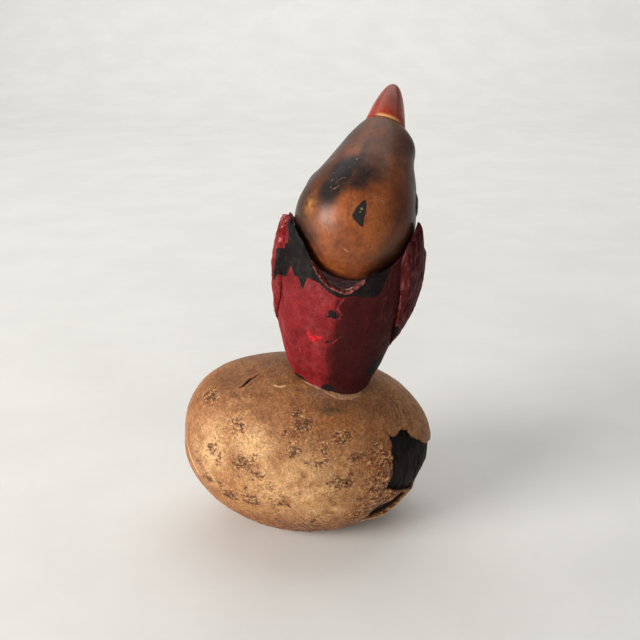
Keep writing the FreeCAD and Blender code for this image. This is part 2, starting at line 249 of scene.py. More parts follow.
def blob(points, centre, radii):
    """1 at the centre of a soft ellipsoid, falling to 0 outside it."""
    gap = np.linalg.norm((points - np.array(centre)) / np.array(radii), axis=1)
    return 1 - step(0.0, 1.0, gap)


def together(fields):
    return np.maximum.reduce(list(fields))


# ---- meshes ----
def make_piece(node, points, faces, body, finish, fields=None, seat=None, name=None):
    """A smooth mesh in place of a CAD node, from points in millimetres in its seat."""
    name = name or node + "_visual"
    placed = points if seat is None else out_of(points, seat)
    mesh = bpy.data.meshes.new(name)
    mesh.from_pydata((placed * MM).tolist(), [], faces)
    mesh.polygons.foreach_set("use_smooth", np.ones(len(mesh.polygons), bool))
    for field, values in (fields or {}).items():
        mesh.attributes.new(field, "FLOAT", "POINT").data.foreach_set("value", np.asarray(values, np.float32))
    piece = bpy.data.objects.new(name, mesh)
    bpy.context.scene.collection.objects.link(piece)
    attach(piece, body)
    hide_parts(node)
    mesh.materials.append(finish)


def ring(angle, reach, height, shift=0.0):
    """Points round an upright axis; the angle is 0 at the back and grows to the right."""
    angle, reach, height = np.broadcast_arrays(angle, reach, height)
    return np.stack([shift + reach * np.sin(angle), -reach * np.cos(angle), height], axis=-1)


def round_trip(columns):
    return np.linspace(-math.pi, math.pi, columns, endpoint=False)


def circle(angle, radius):
    """Places on a circle, for noise that closes up round a piece."""
    return np.stack([np.sin(angle), np.cos(angle), np.zeros(len(angle))], axis=-1) * radius


def ring_faces(rows, columns, closed_start=True, closed_end=True):
    """Faces of a tube of rings, with a fan at each closed end round a last point."""
    faces = []
    for r in range(rows - 1):
        for c in range(columns):
            d = (c + 1) % columns
            faces.append((r * columns + c, r * columns + d, (r + 1) * columns + d, (r + 1) * columns + c))
    extra = rows * columns
    if closed_start:
        faces += [(extra, (c + 1) % columns, c) for c in range(columns)]
        extra += 1
    if closed_end:
        last = (rows - 1) * columns
        faces += [(extra, last + c, last + (c + 1) % columns) for c in range(columns)]
    return faces


def all_round(angle, rows):
    """The angle of each point of a tube of rings and of its two ends."""
    return np.concatenate([np.tile(angle, len(rows)), [0, 0]])


def with_ends(grid, start, end):
    """The points of a grid of rings, then its two end points."""
    return np.vstack([grid.reshape(-1, 3), [start], [end]])


def read_mesh(mesh):
    points = np.empty(len(mesh.vertices) * 3)
    mesh.vertices.foreach_get("co", points)
    normals = np.empty(len(mesh.vertices) * 3)
    mesh.vertices.foreach_get("normal", normals)
    return points.reshape(-1, 3) / MM, normals.reshape(-1, 3)


def remeshed(node, voxel, smoothing):
    """Points, normals and faces of a CAD node's form rebuilt as an even, fine skin."""
    copy = bpy.data.objects.new(node + "_copy", frame["nodes"][node].data.copy())
    bpy.context.scene.collection.objects.link(copy)
    remesh = copy.modifiers.new("skin", "REMESH")
    remesh.mode = "VOXEL"
    remesh.voxel_size = voxel * MM
    smooth = copy.modifiers.new("smooth", "SMOOTH")
    smooth.iterations = smoothing
    made = copy.evaluated_get(bpy.context.evaluated_depsgraph_get()).to_mesh()
    points, normals = read_mesh(made)
    faces = [tuple(face.vertices) for face in made.polygons]
    bpy.data.objects.remove(copy)
    return points, normals, faces


# ---- materials ----
def colour(red, green, blue):
    """A colour given as 0 to 255 on screen, for a node."""
    linear = []
    for value in (red, green, blue):
        v = value / 255
        linear.append(v / 12.92 if v <= 0.04045 else ((v + 0.055) / 1.055) ** 2.4)
    return (*linear, 1.0)


class Finish:
    """A node material being put together; each call adds nodes and gives their output."""

    def __init__(self, name):
        self.material = bpy.data.materials.new(name)
        self.material.use_nodes = True
        self.tree = self.material.node_tree
        self.tree.nodes.clear()
        self.place = self.scale(self.add("ShaderNodeTexCoord", {}, "Object"), (1 / MM,) * 3)

    def add(self, kind, inputs, output=0, **settings):
        node = self.tree.nodes.new(kind)
        for setting, value in settings.items():
            setattr(node, setting, value)
        for key, value in inputs.items():
            if isinstance(value, bpy.types.NodeSocket):
                self.tree.links.new(value, node.inputs[key])
            else:
                node.inputs[key].default_value = value
        return node.outputs[output] if node.outputs else node

    def scale(self, vector, factors):
        return self.add("ShaderNodeVectorMath", {0: vector, 1: factors}, operation="MULTIPLY")

    def turned(self, seat):
        """Coordinates in a piece's own seat."""
        axes, place = seat
        shifted = self.add("ShaderNodeVectorMath", {0: self.place, 1: tuple(-place)}, operation="ADD")
        parts = [
            self.add("ShaderNodeVectorMath", {0: shifted, 1: tuple(axis)}, "Value", operation="DOT_PRODUCT")
            for axis in axes.T
        ]
        return self.add("ShaderNodeCombineXYZ", {0: parts[0], 1: parts[1], 2: parts[2]})

    def noise(self, size, detail=4.0, roughness=0.55, stretch=(1, 1, 1), distortion=0.0, place=None):
        vector = self.scale(self.place if place is None else place, tuple(1 / (size * s) for s in stretch))
        inputs = {"Vector": vector, "Scale": 1.0, "Detail": detail, "Roughness": roughness}
        inputs["Distortion"] = distortion
        return self.add("ShaderNodeTexNoise", inputs)

    def field(self, name):
        return self.add("ShaderNodeAttribute", {}, "Fac", attribute_name=name)

    def maths(self, operation, a, b=0.0, c=0.0):
        return self.add("ShaderNodeMath", {0: a, 1: b, 2: c}, operation=operation)

    def over(self, value, low, high, start=0.0, end=1.0):
        """start where value is under low, end where it is over high, smooth between."""
        inputs = {"Value": value, "From Min": low, "From Max": high, "To Min": start, "To Max": end}
        return self.add("ShaderNodeMapRange", inputs, interpolation_type="SMOOTHSTEP")

    def ragged(self, field, amount, size, edge=0.08, detail=3.0):
        """1 inside a painted shape, with its edge made ragged by noise."""
        wave = self.maths("MULTIPLY_ADD", self.noise(size, detail), 2 * amount, -amount)
        return self.over(self.maths("ADD", self.field(field), wave), -edge, edge)

    def patches(self, low, high, *size_and_more, **settings):
        """0 to 1 where noise goes from low to high."""
        return self.over(self.noise(*size_and_more, **settings), low, high)

    def mix(self, factor, a, b, blend="MIX"):
        a, b = (colour(*value) if isinstance(value, tuple) else value for value in (a, b))
        inputs = {0: factor, 6: a, 7: b}
        return self.add("ShaderNodeMix", inputs, 2, data_type="RGBA", blend_type=blend)

    def shade(self, base, value, low, high, bright, right_painted_shade):
        """base made brighter where value is under low and darker where it is over high."""
        return self.mix(1.0, base, self.over(value, low, high, bright, right_painted_shade), "MULTIPLY")

    def product(self, *values):
        total = values[0]
        for value in values[1:]:
            total = self.maths("MULTIPLY", total, value)
        return total

    def bump(self, height, depth):
        return self.add("ShaderNodeBump", {"Height": height, "Distance": depth * MM, "Strength": 1.0})

    def finish(self, base, roughness, normal, **extra):
        inputs = {"Base Color": base, "Roughness": roughness, "Normal": normal}
        inputs.update({key.replace("_", " "): value for key, value in extra.items()})
        surface = self.add("ShaderNodeBsdfPrincipled", inputs)
        self.add("ShaderNodeOutputMaterial", {"Surface": surface})
        return self.material


def nut_skin_finish():
    """Brittle tan skin: mottled, crusted round the chip, pitted, cracked and flecked, with painted shade and
    light.
    """
    f = Finish("nut_skin")
    base = f.mix(f.patches(0.36, 0.64, 9.0, 4.0, 0.6), (158, 104, 60), (182, 127, 76))
    base = f.mix(f.patches(0.42, 0.7, 3.2, 6.0, 0.7), base, (140, 84, 44))
    # cream: paler patches of the skin on the front facing the lamp, partly its own scurf and partly painted
    # highlight
    pale = f.product(f.field("cream"), f.patches(0.32, 0.54, 3.6, 7.0, 0.7))
    base = f.mix(f.product(pale, 0.95), base, (229, 180, 124))
    # painted shade: the top, the underside and the right of the nut painted darker
    base = f.mix(f.product(f.field("shade"), 0.75), base, (104, 64, 36))
    base = f.mix(f.product(f.field("ochre"), f.patches(0.36, 0.6, 2.4, 6.0, 0.7)), base, (160, 98, 50))
    base = f.mix(f.product(f.field("stain"), f.patches(0.3, 0.55, 1.6, 4.0)), base, (96, 70, 42))
    base = f.mix(f.product(f.field("lilac"), f.patches(0.35, 0.6, 1.8, 4.0), 0.7), base, (154, 116, 92))
    base = f.shade(base, f.noise(0.9, 6.0, 0.75), 0.36, 0.64, 1.12, 0.7)
    base = f.shade(base, f.noise(0.42, 4.0, 0.65), 0.38, 0.62, 1.14, 0.74)
    ridges = f.maths("ABSOLUTE", f.maths("SUBTRACT", f.noise(1.5, 5.0, 0.7), 0.5))
    fibre = f.over(ridges, 0.0, 0.022, 1.0, 0.0)
    fibre = f.product(fibre, f.patches(0.42, 0.6, 4.5, 3.0), 0.5)
    base = f.mix(fibre, base, (112, 64, 36))
    crust = f.product(f.field("crust"), f.patches(0.34, 0.54, 1.2, 5.0, 0.65))
    base = f.mix(f.product(crust, 0.9), base, (140, 70, 28))
    granules = f.over(f.maths("MULTIPLY_ADD", f.field("crust"), 0.08, f.noise(0.8, 6.0, 0.8)), 0.585, 0.61)
    base = f.mix(f.product(granules, f.over(f.field("crust"), 0.05, 0.3)), base, (220, 170, 108))
    holes = f.over(f.maths("MULTIPLY_ADD", f.field("crust"), 0.1, f.noise(0.7, 6.0, 0.8)), 0.6, 0.625)
    base = f.mix(f.product(holes, f.over(f.field("crust"), 0.05, 0.3)), base, (82, 32, 17))
    swirl = f.over(f.maths("SINE", f.maths("MULTIPLY", f.field("swirl_rings"), 5.0)), 0.55, 0.95)
    base = f.mix(f.product(swirl, f.field("swirl")), base, (84, 50, 28))
    clusters = f.field("clusters")
    halo = f.product(clusters, f.patches(0.44, 0.56, 0.8, 6.0, 0.75), 0.5)
    base = f.mix(halo, base, (142, 80, 40))
    flakes = f.over(f.maths("MULTIPLY_ADD", clusters, 0.05, f.noise(0.45, 4.0, 0.7)), 0.61, 0.63)
    base = f.mix(f.product(flakes, f.over(clusters, 0.1, 0.5), 0.75), base, (228, 188, 134))
    strokes = f.noise(0.7, 6.0, 0.8, (1.5, 1.0, 0.9), 0.6)
    pits = f.over(f.maths("MULTIPLY_ADD", clusters, 0.14, strokes), 0.64, 0.658)
    base = f.mix(f.product(pits, 0.85), base, (78, 39, 18))
    specks = f.patches(0.615, 0.64, 0.5, 6.0, 0.8, distortion=0.5)
    base = f.mix(f.product(specks, 0.5), base, (104, 58, 28))
    purple = f.product(f.field("purple"), f.patches(0.46, 0.56, 0.7, 5.0, 0.7), 0.85)
    base = f.mix(purple, base, (92, 52, 44))
    base = f.mix(f.product(f.ragged("flecks", 0.25, 0.4, 0.1), 0.75), base, (220, 180, 134))
    base = f.mix(f.product(f.ragged("crack_edge", 0.3, 0.6, 0.2), 0.7), base, (150, 94, 54))
    base = f.mix(f.ragged("crack", 0.16, 0.35, 0.05), base, (38, 22, 13))
    base = f.mix(f.ragged("hole", 0.1, 0.3, 0.06), base, (40, 22, 12))
    base = f.mix(f.ragged("broken", 0.1, 0.5, 0.1), base, (98, 60, 36))
    height = f.maths("ADD", f.product(f.noise(0.4, 5.0, 0.65), 0.7), f.product(f.noise(1.6, 5.0, 0.6), 1.3))
    height = f.maths("SUBTRACT", height, f.product(fibre, 0.5))
    normal = f.bump(f.maths("SUBTRACT", height, f.product(pits, 0.8)), 0.16)
    gloss = f.over(f.noise(3.0, 5.0), 0.35, 0.65, 0.46, 0.64)
    return f.finish(base, gloss, normal, Specular_IOR_Level=0.32)


def nut_shell_finish():
    """Near-black shell, streaked the long way."""
    f = Finish("nut_shell")
    streaks = f.noise(0.8, 5.0, 0.6, stretch=(1, 1, 6))
    base = f.mix(f.over(streaks, 0.44, 0.66), (10, 5, 4), (38, 26, 26))
    base = f.mix(f.patches(0.5, 0.65, 1.5, 4.0), base, (24, 12, 8))
    normal = f.bump(streaks, 0.3)
    return f.finish(base, f.over(streaks, 0.3, 0.7, 0.55, 0.75), normal, Specular_IOR_Level=0.16)


def torso_finish(name):
    """Crimson paint over carved wood, black at the shoulders, worn and chipped, with painted shade and light.
    """
    f = Finish(name)
    upright = f.turned(FIGURE)
    red = f.mix(f.patches(0.36, 0.64, 5.0, 5.0, 0.6), (104, 18, 21), (126, 28, 32))
    red = f.mix(f.patches(0.5, 0.7, 1.4, 6.0, 0.7, (1, 1, 2.5), place=upright), red, (80, 15, 19))
    dusty = f.product(f.patches(0.44, 0.7, 2.6, 6.0, 0.7), 0.4)
    red = f.mix(dusty, red, (140, 62, 60))
    # painted shade: the red made darker on the right of the back, the side turned away from the lamp
    red = f.mix(f.product(f.field("right_painted_shade"), 0.85), red, (44, 12, 12))
    red = f.shade(red, f.noise(0.4, 5.0, 0.7), 0.36, 0.64, 1.14, 0.8)
    streak = f.noise(0.6, 6.0, 0.75, (1, 1, 6), place=upright)
    scuffs = f.product(f.over(streak, 0.5, 0.62), f.patches(0.4, 0.55, 2.6, 4.0, 0.6), f.field("scuffed"))
    # the scuffs are also painted darker on that right side as painted shade
    red = f.mix(scuffs, red, f.mix(f.field("right_painted_shade"), (196, 126, 122), (100, 50, 48)))
    lines = f.product(f.over(streak, 0.34, 0.44, 1.0, 0.0), f.field("scuffed"))
    red = f.mix(f.product(lines, 0.9), red, (48, 18, 21))
    black = f.mix(f.patches(0.4, 0.65, 1.5, 5.0, 0.6), (15, 11, 11), (29, 22, 20))
    black = f.shade(black, f.noise(0.4, 5.0, 0.7), 0.36, 0.64, 1.2, 0.8)
    mantle = f.ragged("mantle", 0.25, 0.9, 0.07, 5.0)
    base = f.mix(mantle, red, black)
    chips = f.ragged("chips", 0.3, 0.7, 0.1, 5.0)
    base = f.mix(chips, base, (24, 18, 19))
    # painted light: the bowl's inside is painted pale pink so it reads as lit inside the head's shadow
    bowl = f.mix(f.patches(0.4, 0.62, 1.4, 5.0, 0.6), (248, 200, 204), (206, 148, 154))
    base = f.mix(f.ragged("bowl", 0.2, 0.8, 0.1), base, bowl)
    edge = f.mix(f.patches(0.44, 0.58, 0.6, 5.0, 0.75), (62, 28, 28), (146, 80, 70))
    base = f.mix(f.product(f.ragged("rim", 0.3, 0.7, 0.12, 5.0), 0.92), base, edge)
    # painted shadow: a near-black band just inside the rim on the left, where the bowl's wall is in shade
    base = f.mix(f.ragged("gap", 0.2, 0.8, 0.15), base, (14, 9, 9))
    glint = f.product(f.ragged("tick", 0.4, 0.7, 0.14, 5.0), f.patches(0.43, 0.55, 0.7, 4.0, 0.7))
    base = f.mix(glint, base, (196, 28, 38))
    scratches = f.product(f.ragged("scratches", 0.1, 0.3, 0.06), f.patches(0.42, 0.56, 0.6, 4.0, 0.7))
    base = f.mix(f.product(scratches, 0.7), base, (142, 62, 60))
    lumps = f.noise(1.8, 5.0, 0.6, (1, 1, 2.5), place=upright)
    paint = f.maths("ADD", f.product(f.noise(0.4, 5.0, 0.65), 0.5), lumps)
    paint = f.maths("ADD", paint, f.product(mantle, 0.3))
    normal = f.bump(f.maths("SUBTRACT", paint, f.product(lines, 0.6)), 0.16)
    gloss = f.over(f.noise(2.2, 5.0), 0.35, 0.65, 0.5, 0.68)
    gloss = f.maths("SUBTRACT", gloss, f.product(glint, 0.28))
    return f.finish(base, gloss, normal, Specular_IOR_Level=0.1)


def gourd_finish():
    """Polished brown gourd, black smudges, a painted mark, painted shade on its sides, a painted highlight.
    """
    f = Finish("head_gourd")
    own = f.turned(HEAD)
    base = f.mix(f.patches(0.36, 0.64, 7.0, 4.0, 0.6, place=own), (148, 80, 36), (116, 59, 27))
    base = f.mix(f.patches(0.48, 0.72, 2.6, 6.0, 0.65, (1, 1, 1.8), place=own), base, (88, 46, 25))
    base = f.mix(f.field("dark"), base, (82, 52, 33))
    # painted shade: the gourd's left and right sides painted darker
    base = f.mix(f.field("painted_side_shade"), base, (44, 30, 24))
    # painted highlight: a pale yellow spot on the left of the round end
    base = f.mix(f.product(f.field("painted_highlight"), f.patches(0.3, 0.6, 1.6, 5.0), 0.6), base, (178, 118, 60))
    base = f.shade(base, f.noise(0.7, 6.0, 0.75), 0.38, 0.64, 1.1, 0.78)
    wave = f.maths("MULTIPLY_ADD", f.noise(2.6, 6.0, 0.7, place=own), 0.9, -0.45)
    soft = f.maths("ADD", f.field("smudge"), wave)
    base = f.mix(f.over(soft, 0.0, 0.6, 0.0, 0.7), base, (50, 33, 26))
    smudge = f.over(soft, 0.38, 0.95)
    base = f.mix(f.product(smudge, 0.95), base, (17, 13, 13))
    wear = f.product(f.patches(0.6, 0.68, 0.55, 5.0, 0.75), smudge, 0.5)
    base = f.mix(wear, base, (130, 112, 100))
    base = f.mix(f.ragged("mark", 0.16, 0.6, 0.1), base, (28, 23, 20))
    base = f.mix(f.product(f.ragged("flecks", 0.1, 0.3, 0.1), 0.6), base, (170, 140, 108))
    scratches = f.product(f.ragged("scratches", 0.08, 0.4, 0.06), f.patches(0.4, 0.6, 0.6, 4.0, 0.7), 0.5)
    base = f.mix(scratches, base, (176, 130, 98))
    base = f.mix(f.ragged("lip", 0.16, 0.6, 0.14), base, (34, 24, 19))
    height = f.maths("ADD", f.noise(1.0, 5.0, 0.6), f.product(f.noise(3.6, 3.0), 2.4))
    height = f.maths("SUBTRACT", height, f.product(scratches, 0.9))
    normal = f.bump(height, 0.07)
    gloss = f.maths("ADD", f.over(f.noise(2.4, 6.0, 0.65), 0.3, 0.7, 0.4, 0.54), f.product(smudge, 0.1))
    extra = {"Coat_Weight": 0.36, "Coat_Roughness": 0.32, "Specular_IOR_Level": 0.12}
    return f.finish(base, gloss, normal, **extra)


def beak_finish():
    """Red-orange horn with a cream root, and a painted reflection on its right side."""
    f = Finish("beak")
    base = f.mix(f.over(f.field("along"), 0.6, 5.5), (150, 48, 20), (122, 52, 36))
    base = f.mix(f.patches(0.42, 0.7, 2.0, 5.0, 0.6), base, (136, 58, 40))
    # painted reflection: the right side of the beak painted paler and greyer
    base = f.mix(f.product(f.field("pale"), 0.85), base, (196, 134, 116))
    root = f.maths("ADD", f.field("along"), f.product(f.noise(1.0, 4.0), 0.4))
    cream = f.product(f.over(root, 0.45, 0.95, 1.0, 0.0), f.field("cream"))
    base = f.mix(cream, base, (208, 142, 86))
    normal = f.bump(f.noise(1.6, 5.0), 0.05)
    extra = {"Coat_Weight": 0.07, "Coat_Roughness": 0.2, "Specular_IOR_Level": 0.3, "Subsurface_Weight": 0.2}
    extra["Subsurface_Radius"] = (0.004, 0.0015, 0.0008)
    extra["Subsurface_Scale"] = 0.6
    return f.finish(base, f.over(f.noise(2.0, 4.0), 0.3, 0.7, 0.24, 0.38), normal, **extra)


def glue_finish():
    """Dried glue, tan with paler patches at the front."""
    f = Finish("glue_fillet")
    base = f.mix(f.patches(0.4, 0.62, 1.4, 5.0, 0.65), (142, 92, 58), (108, 68, 44))
    pale = f.product(f.field("pale"), f.patches(0.36, 0.56, 1.1, 5.0, 0.65))
    base = f.mix(f.product(pale, 0.85), base, (168, 128, 90))
    base = f.shade(base, f.noise(0.4, 4.0, 0.65), 0.38, 0.62, 1.14, 0.76)
    return f.finish(base, f.over(f.noise(2.0, 3.0), 0.3, 0.7, 0.4, 0.6), f.bump(f.noise(0.6, 5.0), 0.12))


def plain_finish(name, light, dark, size, roughness, depth, stretch=(1, 1, 1), metallic=0.0):
    """A mottled finish for a small or hidden piece."""
    f = Finish(name)
    grain = f.noise(size, 5.0, 0.6, stretch)
    base = f.mix(f.over(grain, 0.35, 0.68), dark, light)
    gloss = f.over(f.noise(size * 2, 3.0), 0.3, 0.7, roughness, roughness + 0.15)
    return f.finish(base, gloss, f.bump(grain, depth), Metallic=metallic)


# ---- nut ----
def sphere_directions(subdivisions):
    ball = bmesh.new()
    bmesh.ops.create_icosphere(ball, subdivisions=subdivisions, radius=1.0)
    directions = np.array([v.co[:] for v in ball.verts])
    faces = np.array([[v.index for v in face.verts] for face in ball.faces])
    ball.free()
    return directions / np.linalg.norm(directions, axis=1)[:, None], faces


def nut_points(directions, inset):
    """The nut's form set in by inset, in its own frame."""
    sx, sy, sz = directions.T
    share = np.minimum(np.abs(sx), 1 - 1e-9)
    sharp, under = (sx > 0).astype(int), (sz < 0).astype(int)
    power = np.array(NUT_POWERS)[sharp, under]
    length = np.array(NUT_LENGTHS)[sharp] - inset
    height = np.array(NUT_HEIGHTS)[under] - inset
    squarer = (1 - share ** power) ** (1 / power) / np.sqrt(1 - share ** 2)
    return np.column_stack([length * sx, (NUT_DEPTH - inset) * sy, height * sz * squarer])


def nut_top(x, y):
    """Height of the nut's surface over a place, in the nut's own frame."""
    sharp = (x > 0).astype(int)
    power = np.array(NUT_POWERS)[sharp, 0]
    share = np.abs(x) / np.array(NUT_LENGTHS)[sharp]
    height = NUT_HEIGHTS[0] * (1 - share ** power) ** (1 / power)
    depth = NUT_DEPTH * np.sqrt(1 - share ** 2)
    return height * np.sqrt(np.maximum(0, 1 - (y / depth) ** 2))


def chip_plane(points):
    """Points as (across, up) from the chip's centre, seen square on, and how far they stand towards it."""
    c, s = math.cos(math.radians(CHIP_FACING)), math.sin(math.radians(CHIP_FACING))
    gap = points - np.array(CHIP_CENTRE)
    return np.column_stack([gap @ (c, s, 0), gap[:, 2]]), gap @ (s, -c, 0)


def opening(points):
    """How far points are inside the skin's holes: the chip, the slit under it and the rest flat."""
    flat, towards = chip_plane(points)
    ragged = 0.28 * noise(points, 0.9, 11) + 0.14 * noise(points, 0.35, 12)
    chip = inside(flat, CHIP_OUTLINE) + ragged
    slit = inside(flat, SLIT_OUTLINE) + 0.6 * ragged
    hole = np.where(towards > CHIP_BEHIND, np.maximum(chip, slit), OFF)
    return np.maximum(hole, -points[:, 2])


def snapped(points, rim_points):
    """Points next to a hole's edge moved onto it."""
    small = 0.05
    moved = points.copy()
    near = points[rim_points]
    for _ in range(3):
        here = opening(near)
        slope = np.column_stack([
            (opening(near + small * np.eye(3)[k]) - here) / small for k in range(3)
        ])
        size = np.maximum((slope ** 2).sum(axis=1), 0.25)
        near = near - np.clip(here / size, -0.2, 0.2)[:, None] * slope
    moved[rim_points] = near
    return moved


PIT_CLUSTERS = [    # x, y, z in the nut's frame, reach, strength
    (-15.2, -14.5, 11.1, 1.7, 0.9), (-1.3, -16.6, 12.6, 1.9, 1.0), (-20.9, -13.7, 4.6, 1.6, 0.9),
    (7.4, -17.3, 10.4, 1.9, 0.9), (-2.6, -19.4, 7.5, 1.6, 0.9), (10.4, -18.4, 6.3, 1.7, 0.8),
    (-13.7, -18.0, 3.6, 2.4, 0.8), (8.9, -19.8, 0.7, 1.5, 1.0), (-16.6, -15.8, -5.8, 2.0, 1.0),
    (-10.3, -19.3, 1.8, 1.6, 0.8), (-4.7, -17.4, 11.1, 1.2, 0.5), (-2.7, -15.0, 14.5, 1.8, 0.6),
    (-22.1, -7.3, 13.9, 2.4, 0.7), (-11.6, -18.2, -5.4, 2.2, 0.9), (6.5, -20.2, 1.1, 1.9, 0.8),
    (2.9, -20.0, 5.4, 2.0, 0.6), (-21.9, -13.0, -3.4, 1.8, 0.8), (-5.0, -18.6, -5.0, 2.2, 0.6),
    (14.0, -16.5, 7.5, 2.0, 0.5), (17.0, -12.0, -11.0, 3.0, 0.5), (2.0, -17.0, -11.0, 4.0, 0.5),
]
CRACK_LINE = [
    (-15.7, -8.8, 16.9), (-14.6, -8.4, 17.6), (-13.6, -7.4, 18.3), (-12.6, -6.9, 18.9), (-10.7, -5.6, 19.6),
]
NUT_SPOTS = {    # soft patches in the nut's frame: centre, radii
    # cream: paler skin set where the front catches the lamp, partly real scurf and partly painted highlight
    "cream": [
        ((-21.5, -13.0, 3.0), (8.0, 9.0, 13.0)),
        ((-2.0, -19.5, -1.0), (18.0, 11.0, 13.0)),
        ((-12.0, -18.0, 8.0), (9.0, 7.0, 7.0)),
        ((6.0, -19.5, -6.0), (13.0, 11.0, 9.0)),
    ],
    # painted shade: the top, the underside and the right of the nut, where little light falls
    "shade": [
        ((-4.0, 0.0, 24.0), (26.0, 20.0, 13.0)),
        ((8.0, -13.0, 16.0), (18.0, 6.0, 6.0)),
        ((0.0, -14.0, -17.0), (26.0, 12.0, 9.0)),
        ((-17.0, -6.0, 17.0), (15.0, 9.0, 7.5)),
        ((16.0, -14.0, 2.0), (8.0, 8.0, 14.0)),
    ],
    "ochre": [
        ((4.0, -15.0, 13.0), (15.0, 7.0, 7.0)),
        ((16.0, -14.0, 4.0), (9.0, 9.0, 12.0)),
        ((-22.0, -7.0, 12.0), (7.0, 7.0, 5.0)),
        ((10.0, -16.0, -8.0), (12.0, 8.0, 7.0)),
    ],
    "stain": [((4.6, -13.9, 15.3), (5.5, 3.0, 1.6))],
    "lilac": [((2.3, -11.3, 17.6), (6.0, 3.0, 3.0))],
    "swirl": [((20.0, -8.0, 13.4), (6.5, 6.0, 6.0))],
}
SWIRL_CENTRE = (17.6, -10.2, 13.6)
HOLE_CENTRE, HOLE_RADIUS = (8.9, -19.8, 0.7), 0.34
PURPLE_SPOTS = [((-2.6, -10.6, 18.1), (1.0, 1.0, 1.6)), ((2.0, -18.6, 9.0), (2.6, 1.5, 2.8))]
FLECK_SPOTS = [((-0.3, -18.3, 9.9), 0.22), ((3.5, -18.3, 9.6), 0.26), ((3.6, -19.2, 7.7), 0.24)]
NUT_FLECK_LINES = [
    [(-7.6, -9.5, 18.3), (-6.4, -9.9, 18.3), (-5.4, -9.7, 18.5)],
    [(-27.4, -5.2, 3.0), (-26.6, -7.9, 0.2), (-25.5, -9.3, -1.8), (-24.2, -10.4, -4.0)],
]


def nut_fields(own, placed):
    """What the nut's finish needs to know at each point."""
    fields = {}
    for name, spots in NUT_SPOTS.items():
        fields[name] = together(blob(own, centre, radii) for centre, radii in spots)
    clusters = together(strength * blob(own, place, (2.0 * reach, 2.0 * reach, 1.4 * reach))
                        for *place, reach, strength in PIT_CLUSTERS)
    at_the_back = step(-6.0, -12.0, own[:, 1]) * step(14.0, 8.0, own[:, 2])
    extra = 0.8 * step(0.4, 0.66, noise(own, 1.9, 26)) * at_the_back
    fields["clusters"] = np.clip(np.maximum(clusters * 1.6, extra), 0, 1)
    fields["pits"] = rough(own * (0.7, 1, 1), 0.8, 21, 3) - 0.74 + 0.5 * fields["clusters"]
    fields["hole"] = HOLE_RADIUS - np.linalg.norm(own - HOLE_CENTRE, axis=1)
    fields["purple"] = together(blob(own, centre, radii) for centre, radii in PURPLE_SPOTS)
    flecks = [r - np.linalg.norm(own - c, axis=1) for c, r in FLECK_SPOTS]
    flecks.append(0.24 - from_lines(own, NUT_FLECK_LINES))
    flat, towards = chip_plane(placed)
    flecks.append(np.where(towards > CHIP_BEHIND, 0.26 - from_line(flat, FLAKE_LINE)[0], OFF))
    fields["flecks"] = together(flecks)
    gap, along = from_line(own + 0.15 * noise(own, 0.8, 31)[:, None], CRACK_LINE)
    width = 0.05 + 0.36 * np.sin(np.pi * np.clip(along, 0.03, 0.97)) + 0.12 * noise(own, 0.8, 34)
    fields["crack"] = width - gap
    fields["crack_edge"] = width + 0.45 - gap
    hole = opening(placed)
    fields["crust"] = step(-8.5, -2.0, hole) * step(-2.0, 1.0, 21.0 - own[:, 0]) * step(10.0, 4.0, own[:, 2])
    wobble = 0.8 * noise(own, 1.6, 33)[:, None]
    fields["swirl_rings"] = np.linalg.norm(own - SWIRL_CENTRE + wobble, axis=1)
    return fields


def nut_relief(own, fields):
    """How far the skin stands out of the plain form."""
    height = 0.16 * noise(own, 7.0, 1) + 0.09 * rough(own, 2.4, 2)
    height += 0.05 * rough(own, 0.8, 5, 2)
    height += fields["crust"] * 0.14 * rough(own, 0.9, 8, 2)
    height -= 0.2 * step(-0.1, 0.3, fields["pits"])
    height -= 0.4 * step(-0.1, 0.15, fields["hole"])
    height += 0.06 * step(-0.5, -0.1, fields["pits"]) * fields["clusters"]
    height -= 0.65 * step(-0.08, 0.16, fields["crack"])
    height += 0.12 * step(-1.0, -0.1, fields["crack"])
    height += 0.12 * step(-0.1, 0.1, fields["flecks"])
    return height


def skin_lift(own, placed, fields):
    """How far the skin stands out: relief, worn edges, a curled corner and the lip under the slit."""
    hole = opening(placed)
    base_flat = step(1.2, 0.2, placed[:, 2])
    flat, _ = chip_plane(placed)
    curl = 1 - step(0.0, 2.4, np.linalg.norm(flat - (-5.6, -7.2), axis=1))
    lip = 1 - step(0.0, 1.0, np.linalg.norm((flat - (-1.5, -14.5)) / (7.0, 4.0), axis=1))
    lift = nut_relief(own, fields) * (1 - base_flat) - 0.12 * step(-0.9, -0.05, hole)
    return lift + 0.35 * curl * step(-2.2, -0.2, hole) + 0.75 * lip * step(-2.4, -0.2, hole)


def edges_of(faces):
    return np.vstack([faces[:, [0, 1]], faces[:, [1, 2]], faces[:, [2, 0]]])


def closed_skin(top, inner, kept, borders):
    """A thin closed shell from two matching layers, joined along the borders; also the points used."""
    count = len(top)
    borders = set(map(tuple, borders))
    rim = [(int(b), int(a), int(a) + count, int(b) + count)
           for a, b in edges_of(kept) if (min(a, b), max(a, b)) in borders]
    faces = kept.tolist() + (kept[:, ::-1] + count).tolist() + rim
    used = np.unique(kept)
    used = np.concatenate([used, used + count])
    renumber = np.zeros(2 * count, int)
    renumber[used] = np.arange(len(used))
    return np.vstack([top, inner])[used], [tuple(int(renumber[i]) for i in face) for face in faces], used


